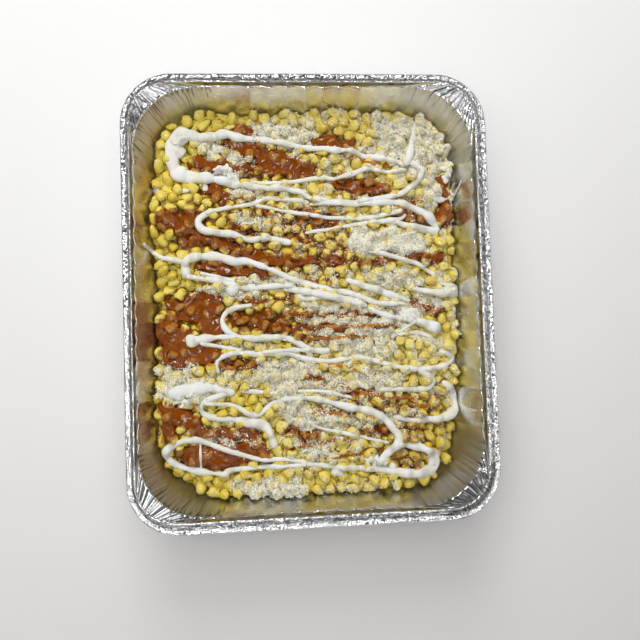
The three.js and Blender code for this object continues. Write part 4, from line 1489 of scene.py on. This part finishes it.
def dab(middle_x, middle_y, length, width, heading, ground, seed):
    """A drop: a flattened ball whose outline is shaken by two waves, set on the ground."""
    polar, turn, faces = ball_grid(20, 9)
    heading = math.radians(heading)
    shaken = 1 + 0.1 * np.cos(2 * turn + seed) + 0.07 * np.cos(3 * turn + 2.1 * seed)
    along = np.sin(polar) * np.cos(turn) * length / 2 * shaken
    across = np.sin(polar) * np.sin(turn) * width / 2 * shaken
    rise = np.cos(polar) * min(0.5 * min(length, width), DROP_TALLEST) / 2
    x = middle_x + along * math.cos(heading) - across * math.sin(heading)
    y = middle_y + along * math.sin(heading) + across * math.cos(heading)
    base = 0.5 * sample(ground, x, y)
    base += 0.5 * float(sample(ground, np.array(middle_x), np.array(middle_y)))
    points = np.stack([x, y, base + 0.3 + rise], axis=-1)
    raise_map(ground, points)
    return points, outwards(points, faces)


def splash(middle_x, middle_y, length, width, heading, drops, ground, seed):
    """Small drops that land within an oval and run into one another."""
    draw = np.random.default_rng(seed)
    turn = draw.uniform(0, 2 * np.pi, drops)
    reach = np.sqrt(draw.uniform(0, 1, drops))
    along = reach * np.cos(turn) * length / 2
    across = reach * np.sin(turn) * width / 2
    heading = math.radians(heading)
    x = middle_x + along * math.cos(heading) - across * math.sin(heading)
    y = middle_y + along * math.sin(heading) + across * math.cos(heading)
    long, wide = (draw.uniform(*DROP_SIZES, (drops, 2)) * (1.0, 0.8)).T
    return [dab(x[n], y[n], long[n], wide[n], math.degrees(turn[n]), ground, n) for n in range(drops)]


def joined(name, parts):
    """One piece from the points and faces of many parts."""
    starts = np.cumsum([0] + [len(points) for points, _ in parts])
    faces = [part + start for start, (_, part_faces) in zip(starts, parts) for part in part_faces]
    points = held_in(np.concatenate([points for points, _ in parts]), ROPE_CLEAR)
    return mesh_object(name, points, faces)


print(f"drops are {DROP_TALLEST} mm tall at most, those of a splash about {np.mean(DROP_SIZES):.1f} mm long")

# %% [markdown]
# ## Threads of sauce
# The last sauce ran out of the spoon in thin threads over kernels and cheese. They are narrow
# and flat and sink into the gaps, so they follow a map that is smoothed only a little. The crema
# comes later and crosses them.

# %% Threads of sauce
# The widths in mm along each thread, evenly spaced, then the points that it passes.
THREADS = [
    ((1.6, 2.2, 1.4), ((-8, -10), (17, -13), (45, -15))),
    ((2.2, 3.0, 2.6, 2.4), ((2, -20), (28, -21), (62, -20))),
    ((1.8, 2.4, 1.6), ((0, -29), (21, -29), (44, -28))),
    ((1.6, 1.8, 2.2, 1.8), ((-9, -45), (12, -48), (26, -51), (46, -59))),
    ((1.4, 2.0, 2.6, 3.0, 1.6), ((4, -63), (24, -66), (46, -72), (71, -75), (96, -76))),
    ((1.6, 2.2, 2.8, 2.4, 1.6), ((45, -83), (57, -81), (67, -79), (82, -82), (96, -83))),
    ((3.0, 3.6, 2.0), ((-2, -84), (10, -84), (21, -85))),
    ((2.0, 2.4, 1.6), ((-11, -98), (-2, -99), (8, -96))),
    ((2.4, 2.8, 2.2, 1.6), ((-11, -107), (2, -106), (15, -104), (31, -104))),
    ((1.6, 2.4, 2.0), ((29, -98), (42, -102), (55, -108))),
    ((1.6, 2.2, 2.0, 1.6), ((6, -117), (23, -116), (41, -114), (57, -113))),
    ((1.6, 2.4, 2.0), ((25, 108), (37, 105), (48, 102), (72, 98))),
    ((1.8, 2.4, 1.8), ((4, 66), (18, 65), (31, 64))),
    ((1.6, 2.0), ((12, 113), (29, 111))),
]
THREAD_FLAT = 0.5

thread_ground = np.maximum(blurred(food_top, 1.1), food_top - 0.5)
before_threads = thread_ground.copy()
parts = [ribbon(widths, path, thread_ground, 400 + 2 * index, THREAD_FLAT)
         for index, (widths, path) in enumerate(THREADS)]
threads = joined("sauce_threads", parts)
under_thread = thread_ground > before_threads + 0.1
food_top = np.maximum(food_top, np.where(under_thread, thread_ground, -FAR))

# %% [markdown]
# ## Ribbons and dabs of crema
# Crema was squeezed from a bottle in quick zigzags, with dabs where it stopped and small drops
# where it spat. It is thick and bridges the gaps between kernels, so its ground is the food
# smoothed over a few millimetres, and the wall where a ribbon runs up on it.

# %% Ribbons of crema
# The widths in mm along the ribbon, evenly spaced, then the points that it passes.
RIBBONS = [
    ((3.7, 4.4, 4.4, 5.6, 8.6, 10.8, 5.6, 4.2, 4.0, 4.4, 4.4),
     ((76, 100), (66, 103), (55, 105), (33, 110), (18, 111), (-8, 115), (-30, 119), (-50, 121),
      (-58, 124), (-78, 122), (-91, 124), (-98, 118), (-99, 110), (-97, 99), (-89, 93), (-68, 90),
      (-39, 84), (-8, 81), (3, 75), (20, 72), (47, 73), (71, 78), (85, 90), (86, 97), (77, 102))),
    ((2.9, 3.6, 3.2, 2.4),
     ((76, 97), (63, 95), (44, 96), (23, 90), (10, 91), (-17, 87), (-42, 88))),
    ((3.7, 3.7, 3.4, 5.1, 4.6, 5.1),
     ((1, 72), (-28, 76), (-39, 72), (-68, 67), (-80, 60), (-76, 52), (-56, 49), (-43, 45),
      (-32, 46), (-13, 42))),
    ((3.7, 2.9, 2.4), ((73, 62), (67, 58), (46, 56), (23, 53), (-3, 49))),
    ((2.9, 3.7, 5.5, 6.6, 3.7),
     ((1, 71), (39, 70), (65, 71), (88, 63), (98, 51), (80, 52), (65, 56))),
    ((3.0, 3.4, 3.8, 4.8), ((-119.6, 42), (-109, 34), (-99, 31), (-89, 30))),
    ((6.6, 8.0, 4.4, 4.8, 4.4, 3.7),
     ((-90, 17), (-89, 31), (-69, 33), (-55, 29), (-46, 29), (-26, 21), (-11, 14), (14, 7),
      (29, 4), (51, -4), (70, -5))),
    ((4.4, 5.0, 3.7, 2.9), ((-90, 19), (-70, 16), (-47, 10), (-15, 10), (-6, 1), (21, 1), (36, -2))),
    ((3.7, 5.9, 3.7), ((26, 14), (51, 5), (75, -3))),
    ((3.6, 5.5, 6.5, 3.6), ((-20, 8), (-1, 5), (25, -1), (42, -6))),
    ((2.4, 3.7, 2.9), ((37, 36), (60, 31), (73, 27), (81, 25), (96, 15))),
    ((2.9, 5.1, 7.5, 3.5), ((76, 6), (104, 2), (111, 5), (98, 11))),
    ((3.7, 5.1, 8.8), ((42, -8), (58, -14), (79, -18), (98, -26))),
    ((3.4, 4.8, 4.4),
     ((-43, -3), (-59, -6), (-65, -13), (-61, -22), (-48, -27), (-19, -28), (-1, -37), (13, -38))),
    ((8.8, 4.4, 2.9), ((-86, -28), (-70, -26), (-55, -26))),
    ((2.9, 4.4, 4.0, 3.6, 4.4, 2.9),
     ((-69, -52), (-69, -43), (-58, -38), (-38, -39), (-19, -39), (-7, -43), (12, -46), (35, -44),
      (64, -52), (87, -54), (103, -51), (107, -46), (96, -41))),
    ((3.7, 4.6, 3.7, 2.9), ((78, -54), (90, -63), (83, -69), (60, -68), (47, -68))),
    ((4.0, 7.6, 7.6, 3.6, 2.9),
     ((98, -64), (107.5, -73), (107.5, -86), (99, -92), (74, -92), (58, -88))),
    ((5.0, 7.4, 9.4, 7.0), ((-57, -67), (-75, -62), (-97, -64), (-104, -68))),
    ((4.4, 4.4, 5.0, 8.0, 5.0),
     ((-62, -66), (-80, -73), (-78, -82), (-54, -87), (-36, -92), (-29, -108))),
    ((2.9, 4.6, 3.4, 5.1, 5.9, 5.9),
     ((-80, -73), (-58, -76), (-42, -83), (-25, -73), (1, -73), (22, -79), (42, -84), (55, -93),
      (62, -106), (50, -119), (47, -124))),
    ((2.9, 3.7, 5.6, 4.0, 2.9),
     ((-3, -120), (-23, -116), (-42, -115), (-66, -107), (-87, -99), (-101, -102), (-108, -109),
      (-98, -119), (-68, -125), (-62, -123), (-30, -121), (-7, -121))),
    ((3.7, 4.4, 8.5, 4.4),
     ((-7, -120), (19, -124), (47, -127), (77, -132), (91, -129), (90, -120), (80, -113), (61, -109))),
    ((2.4, 2.9, 2.9), ((-39, 70), (-17, 66), (3, 62), (23, 60), (38, 59), (70, 64))),
    ((2.9, 2.4, 2.4), ((78, -18), (59, -30))),
    ((2.4, 2.9, 2.9), ((64, -28), (81, -27), (94, -34))),
    ((2.9, 2.9, 2.9), ((-81, -30), (-51, -36))),
    ((2.4, 2.9, 2.4), ((-12, -67), (8, -68), (28, -73))),
    ((2.4, 2.9, 2.4), ((-7, -79), (-1, -92), (22, -99), (55, -108))),
    ((2.9, 2.9, 2.2), ((-80, 21), (-55, 15))),
    ((2.9, 3.7, 2.9), ((-37, -38), (-19, -37), (2, -37))),
    ((2.9, 3.7, 2.2), ((-54, -65), (-36, -67))),
    ((1.5, 2.2, 1.5), ((-83, -102), (-83, -121))),
    ((1.6, 2.6, 2.2), ((113, 74), (115, 80), (117.2, 87))),
    ((1.4, 2.0, 1.6), ((111, 78), (113, 84), (115, 88))),
    ((5.0, 5.0, 4.4, 2.6), ((74, 99), (78, 107), (81, 119), (84, 132))),
]
print(f"ribbons of crema: {len(RIBBONS)}")

# %% [markdown]
# The dabs and splashes are laid after all ribbons, on the same map.

# %% Lay the crema
# Middle x, middle y, length, width, and the direction of the length in degrees.
DABS = [
    (-92, 120, 15, 10, 20), (-95, 111, 9, 13, 80), (-112, 84, 7, 4, 20), (-75, 84, 7, 4, 90),
    (-91, 82, 10, 3, 0), (-57, 8, 9, 8, 0), (73, -12, 14, 9, 10), (16, -127, 9, 8, 0),
    (42, -120, 7, 5, 0), (57, -125, 7, 5, 0), (107, 98, 5, 10, 90), (101, 74, 5, 9, 90),
    (-32, 46, 7, 7, 0), (107, 5, 9, 8, 40), (90, -123, 12, 9, 80), (-87, -28, 11, 9, 0),
]
# Splashes of many small drops: middle x, middle y, length, width, direction, drops.
SPLASHES = [
    (-58, 95, 22, 8, -15, 16),
    (106, 4, 9, 8, 0, 8),
    (74, -13, 14, 8, -20, 10),
    (45, -121, 16, 6, 0, 8),
    (107, 95, 5, 16, 0, 8),
    (-94, -70, 14, 8, 20, 9),
]
CREMA_FLAT = 0.7

crema_ground = np.maximum(blurred(food_top, 1.1), blurred(food_top, 2.4) + 0.3)
beyond = room < 1.5
crema_ground[beyond] = np.maximum(crema_ground, wall_height(map_x, map_y))[beyond]
before_crema = crema_ground.copy()
parts = [ribbon(widths, path, crema_ground, 200 + 2 * index, CREMA_FLAT)
         for index, (widths, path) in enumerate(RIBBONS)]
parts += [dab(*values, crema_ground, index) for index, values in enumerate(DABS)]
for index, values in enumerate(SPLASHES):
    parts += splash(*values, crema_ground, 500 + index)
crema = joined("crema_ribbons", parts)
under_crema = crema_ground > before_crema + 0.2

# %% [markdown]
# ## Loose grains of cheese
# The last layer is what fell from the grater: thousands of small uneven grains, each a
# six-pointed form with eight faces. Where they land follows the beds, with a few everywhere
# and hardly any on crema or sauce. Grains of three sizes are three pieces.

# %% Where the grains land
loose_ground = np.maximum(food_top, np.where(under_crema, crema_ground, -FAR))
speckle = np.clip(0.5 + 0.5 * waves(map_x, map_y, 5, 113), 0.05, 1.5)
grain_density = cheese_share ** 1.3 * speckle * (1 - 0.45 * near_right)
grain_density = (grain_density + 2.2 * mound_share + 0.008 + 0.03 * stray) * (room > 1.5)
grain_density *= np.where(under_crema, 0.1, 1.0) * np.where(under_thread, 0.35, 1.0)
grain_density *= (1 - 0.96 * pool_share) * (1 - 0.9 * streak_share) * (1 - 0.9 * coated_share)
landing = (grain_density / grain_density.sum()).ravel()
print(f"half of the grains land on {np.mean(np.cumsum(np.sort(landing)) > 0.5):.0%} of the map")

# %% [markdown]
# A grain is so small that it needs no form of its own: an octahedron whose points are pulled in
# or out at random, never twice alike, reads as a torn crumb.

# %% Scatter the grains
# For each piece, how many grains it has and their smallest and largest half size in mm.
GRAINS = {
    "cheese_crumbs": (24000, 0.5, 0.9),
    "cheese_bits": (24000, 0.4, 0.65),
    "cheese_dust": (24000, 0.28, 0.45),
}
GRAIN_SHAPE = (1.2, 0.9, 0.7)


def random_turns(draw, count):
    """Turning matrices with no favoured direction, from unit quaternions."""
    quaternions = draw.normal(size=(4, count))
    w, x, y, z = quaternions / np.linalg.norm(quaternions, axis=0)
    entries = [1 - 2 * (y * y + z * z), 2 * (x * y - z * w), 2 * (x * z + y * w),
               2 * (x * y + z * w), 1 - 2 * (x * x + z * z), 2 * (y * z - x * w),
               2 * (x * z - y * w), 2 * (y * z + x * w), 1 - 2 * (x * x + y * y)]
    return np.stack(entries, axis=-1).reshape(count, 3, 3)


def grains(name, count, smallest, largest, seed):
    """Grains whose half size lies between two values. Each is an octahedron with its points
    pulled in or out at random, turned, and set on the highest food at its place."""
    draw = np.random.default_rng(seed)
    cell = draw.choice(landing.size, count, p=landing)
    x = map_x.ravel()[cell] + draw.uniform(-CELL, CELL, count) / 2
    y = map_y.ravel()[cell] + draw.uniform(-CELL, CELL, count) / 2
    form = np.array([[1, 0, 0], [-1, 0, 0], [0, 1, 0], [0, -1, 0], [0, 0, 1], [0, 0, -1]], dtype=float)
    faces = np.array([[0, 2, 4], [2, 1, 4], [1, 3, 4], [3, 0, 4],
                      [2, 0, 5], [1, 2, 5], [3, 1, 5], [0, 3, 5]])
    half = draw.uniform(smallest, largest, (count, 1, 1)) * draw.uniform(0.6, 1.25, (count, 6, 1))
    half = half * np.array(GRAIN_SHAPE)
    local = np.einsum("nij,npj->npi", random_turns(draw, count), form[None] * half)
    z = sample(loose_ground, x, y) + draw.uniform(0.2, 1.1, count) * smallest
    points = held_in((local + np.stack([x, y, z], axis=-1)[:, None]).reshape(-1, 3), KERNEL_CLEAR)
    piece = mesh_object(name, points, copies(outwards(form, [faces]), 6, count), smooth=False)
    tint = draw.uniform(0, 1, count) * (1 - 0.6 * near_right_at(x, y))
    point_values(piece, "tint", np.repeat(tint, 6))
    return piece


grain_pieces = [grains(name, *values, 20 + index) for index, (name, values) in enumerate(GRAINS.items())]

# %% [markdown]
# ## Finishes of the food
# Cooked corn lets light in a little, so it glows at its edges and never looks like painted
# plastic: that is subsurface scattering. One kernel is yellower than the next, and a wet film of
# butter gives each a clear coat. Deep between the others a kernel gets painted shade. Sauce covers
# some kernels wholly and others in patches, and cheese lies on them as a thin veil and as specks.
# All of this is mixed in that order, one layer over another.

# %% Corn finish
CORN_LOW = (0.72, 0.525, 0.018)
CORN_HIGH = (0.84, 0.70, 0.13)
CORN_MOTTLED = (0.74, 0.62, 0.19)
CORN_VEILED = (0.78, 0.69, 0.34)
CORN_PAINTED_SHADE = (0.52, 0.35, 0.02)
CORN_TINGED = (0.36, 0.13, 0.008)
SAUCE_DEEP = (0.18, 0.037, 0.0006)
SAUCE_THIN = (0.44, 0.150, 0.005)
CHEESE_PALE = (0.86, 0.84, 0.72)


def corn_colour(tree, where, specks):
    """Colour of the kernels, layer over layer, and how much cheese lies on each place."""
    yellow = mix_of(tree, value_of(tree, "tint"), CORN_LOW, CORN_HIGH)
    mottled = ramp_of(tree, noise_of(tree, 5, 3, place=where), 0.35, 0.75, 0.0, 0.35)
    yellow = mix_of(tree, mottled, yellow, CORN_MOTTLED)
    veil = ramp_of(tree, value_of(tree, "dust"), 0.1, 0.9, 0.0, 0.5)
    yellow = mix_of(tree, veil, yellow, CORN_VEILED)
    # Painted shade: the deeper a place lies under its neighbours' backs, the darker it is.
    low = ramp_of(tree, value_of(tree, "depth"), 0.4, 4.0)
    yellow = mix_of(tree, times(tree, low, 0.3), yellow, CORN_PAINTED_SHADE)
    tinged = ramp_of(tree, value_of(tree, "tinge"), 0.05, 0.45, 0.0, 0.9)
    yellow = mix_of(tree, times(tree, tinged, low), yellow, CORN_TINGED)
    patch = plus(tree, noise_of(tree, 3.2, 4, place=where), -0.5)
    coat = ramp_of(tree, plus(tree, value_of(tree, "coat"), patch), 0.28, 0.62, 0.0, 0.93)
    thick = ramp_of(tree, noise_of(tree, 2.4, 2, place=where), 0.35, 0.7)
    coloured = mix_of(tree, coat, yellow, mix_of(tree, thick, SAUCE_THIN, SAUCE_DEEP))
    dust = plus(tree, times(tree, value_of(tree, "dust"), 0.19), specks)
    return mix_of(tree, ramp_of(tree, dust, 0.66, 0.78, 0.0, 0.9), coloured, CHEESE_PALE), dust


corn, tree, shader = new_finish("cooked corn", Coat_Weight=0.6, Coat_Roughness=0.05)
let_light_in(shader, 0.4, (3.0, 1.6, 0.5), 0.6)
where = place_of(tree)
specks = noise_of(tree, 1.1, 3, 0.65, place=where)
colour, dust = corn_colour(tree, where, specks)
tree.links.new(colour, shader.inputs["Base Color"])
tree.links.new(ramp_of(tree, dust, 0.62, 0.76, 0.3, 0.75), shader.inputs["Roughness"])
dents = times(tree, noise_of(tree, 3.5, 2, place=where), 0.6)
bump_of(tree, shader, plus(tree, dents, times(tree, specks, 0.4)), 0.35, 0.6)
for piece in (bare_kernels, sauced_kernels, core):
    piece.data.materials.append(corn)

# %% [markdown]
# Chili sauce is dark, oily and smooth enough to mirror the small cards as sharp points. It
# reflects a little less than glass does, and lets a little red light through. The threads are
# the same sauce thinned out, so they are lighter, more orange and less glossy.

# %% Sauce finishes
SAUCE_LIGHT = (0.24, 0.059, 0.001)
THREAD_THIN = (0.50, 0.19, 0.012)
THREAD_THICK = (0.30, 0.085, 0.003)

sauce_finish, tree, shader = new_finish("chili sauce", Specular_IOR_Level=0.35)
let_light_in(shader, 0.12, (1.6, 0.4, 0.1), 0.5)
where = place_of(tree)
thick = ramp_of(tree, noise_of(tree, 7, 4, place=where), 0.35, 0.7)
tree.links.new(mix_of(tree, thick, SAUCE_LIGHT, SAUCE_DEEP), shader.inputs["Base Color"])
rough = ramp_of(tree, noise_of(tree, 3, 3, place=where), 0.3, 0.8, 0.01, 0.05)
tree.links.new(rough, shader.inputs["Roughness"])
bump_of(tree, shader, noise_of(tree, 6.0, 2, 0.5, place=where), 0.25, 0.8)
sauce.data.materials.append(sauce_finish)

thread_finish, tree, shader = new_finish("thin sauce", Roughness=0.2, Specular_IOR_Level=0.3)
where = place_of(tree)
thick = ramp_of(tree, noise_of(tree, 5, 3, place=where), 0.35, 0.7)
tree.links.new(mix_of(tree, thick, THREAD_THIN, THREAD_THICK), shader.inputs["Base Color"])
bump_of(tree, shader, noise_of(tree, 2.5, 2, place=where), 0.3, 0.5)
threads.data.materials.append(thread_finish)

# %% [markdown]
# The dressing is butter and crumbs: mustard yellow, half matt, tinged and coated by the sauce
# near it, and specked with cheese, as the kernels are.

# %% Dressing finish
DRESSING_LOW = (0.66, 0.50, 0.04)
DRESSING_HIGH = (0.80, 0.64, 0.12)
DRESSING_TINGED = (0.30, 0.105, 0.006)

dressing_finish, tree, shader = new_finish("corn dressing", Roughness=0.42)
let_light_in(shader, 0.2, (2.4, 1.4, 0.5), 0.6)
where = place_of(tree)
blotched = ramp_of(tree, noise_of(tree, 3.5, 3, place=where), 0.3, 0.7)
mustard = mix_of(tree, blotched, DRESSING_LOW, DRESSING_HIGH)
tinged = ramp_of(tree, value_of(tree, "tinge"), 0.05, 0.4, 0.0, 0.95)
mustard = mix_of(tree, tinged, mustard, DRESSING_TINGED)
patch = plus(tree, noise_of(tree, 4, 3, place=where), -0.5)
coat = ramp_of(tree, plus(tree, value_of(tree, "coat"), patch), 0.2, 0.5, 0.0, 0.95)
coloured = mix_of(tree, coat, mustard, SAUCE_DEEP)
dust = times(tree, value_of(tree, "dust"), 0.3)
dust = plus(tree, dust, noise_of(tree, 1.2, 3, 0.65, place=where))
dusted = mix_of(tree, ramp_of(tree, dust, 0.62, 0.74, 0.0, 0.9), coloured, CHEESE_PALE)
tree.links.new(dusted, shader.inputs["Base Color"])
bump_of(tree, shader, noise_of(tree, 1.5, 3, 0.6, place=where), 0.3, 0.7)
dressing.data.materials.append(dressing_finish)

# %% [markdown]
# Crema is nearly white, a little yellower where butter got into it, and satin: smooth enough
# for a soft sheen and uneven enough to break it up.

# %% Crema finish
CREMA_WHITE = (0.80, 0.80, 0.775)
CREMA_BUTTERY = (0.76, 0.74, 0.60)

crema_finish, tree, shader = new_finish("crema")
let_light_in(shader, 0.3, (1.6, 1.4, 1.0), 0.6)
where = place_of(tree)
buttery = ramp_of(tree, noise_of(tree, 22, 3, place=where), 0.35, 0.7)
tree.links.new(mix_of(tree, buttery, CREMA_WHITE, CREMA_BUTTERY), shader.inputs["Base Color"])
rough = ramp_of(tree, noise_of(tree, 4, 3, place=where), 0.3, 0.7, 0.28, 0.46)
tree.links.new(rough, shader.inputs["Roughness"])
bump_of(tree, shader, noise_of(tree, 2.6, 3, place=where), 0.25, 0.35)
crema.data.materials.append(crema_finish)

# %% [markdown]
# A bed of grated cheese is matt and full of small holes. Fine noise paints shade into the holes,
# and the hollows of the skin get painted shade too, so the bed looks loose although it is one
# surface. The loose grains are too small for a pattern and have one tone each, drawn at random;
# the darkest tones are painted shade between the grains.

# %% Cheese finishes
CHEESE_HOLE_SHADE = (0.33, 0.275, 0.11)
CHEESE_WHITE = (0.94, 0.92, 0.82)
CHEESE_HOLLOW_SHADE = (0.44, 0.36, 0.15)
CHEESE_BUTTERY = (0.74, 0.66, 0.36)
GRAIN_SHADED = (0.46, 0.38, 0.15)
GRAIN_WHITE = (0.95, 0.925, 0.81)
GRAIN_PALE = (0.90, 0.885, 0.79)

cheese_finish, tree, shader = new_finish("grated cheese", Roughness=0.68)
let_light_in(shader, 0.15, (1.2, 1.0, 0.6), 0.5)
where = place_of(tree)
fine = noise_of(tree, 0.9, 3, 0.7, place=where)
# Painted shade in the holes and in the hollows of the skin.
pale = mix_of(tree, ramp_of(tree, fine, 0.36, 0.56), CHEESE_HOLE_SHADE, CHEESE_WHITE)
pale = mix_of(tree, ramp_of(tree, value_of(tree, "hollow"), 0.15, 0.8), pale, CHEESE_HOLLOW_SHADE)
buttery = ramp_of(tree, noise_of(tree, 3, 2, place=where), 0.5, 0.75)
tree.links.new(mix_of(tree, buttery, pale, CHEESE_BUTTERY), shader.inputs["Base Color"])
bump_of(tree, shader, fine, 0.8, 1.0)
cheese.data.materials.append(cheese_finish)

grain_finish, tree, shader = new_finish("cheese grains", Roughness=0.62)
let_light_in(shader, 0.15, (1.0, 0.8, 0.5), 0.5)
# The darkest grain tone is painted shade.
tones = mix_of(tree, ramp_of(tree, value_of(tree, "tint"), 0.0, 0.5), GRAIN_SHADED, GRAIN_WHITE)
blotched = ramp_of(tree, noise_of(tree, 1.2, 2), 0.4, 0.7, 0.0, 0.35)
tree.links.new(mix_of(tree, blotched, tones, GRAIN_PALE), shader.inputs["Base Color"])
bump_of(tree, shader, noise_of(tree, 0.6, 2), 0.1, 0.5)
for piece in grain_pieces:
    piece.data.materials.append(grain_finish)

# %% [markdown]
# ## Mount the food and finish
# Everything edible stands for the one CAD node of the heap and rides with the pan.

# %% Mount the food
KERNEL_PIECES = (core, bare_kernels, sauced_kernels)
for piece in (*KERNEL_PIECES, dressing, sauce, threads, cheese, crema, *grain_pieces):
    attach(piece, "root")
    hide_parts("corn_heap")
print(f"mounted: {5 + len(KERNEL_PIECES) + len(grain_pieces)} pieces of food")
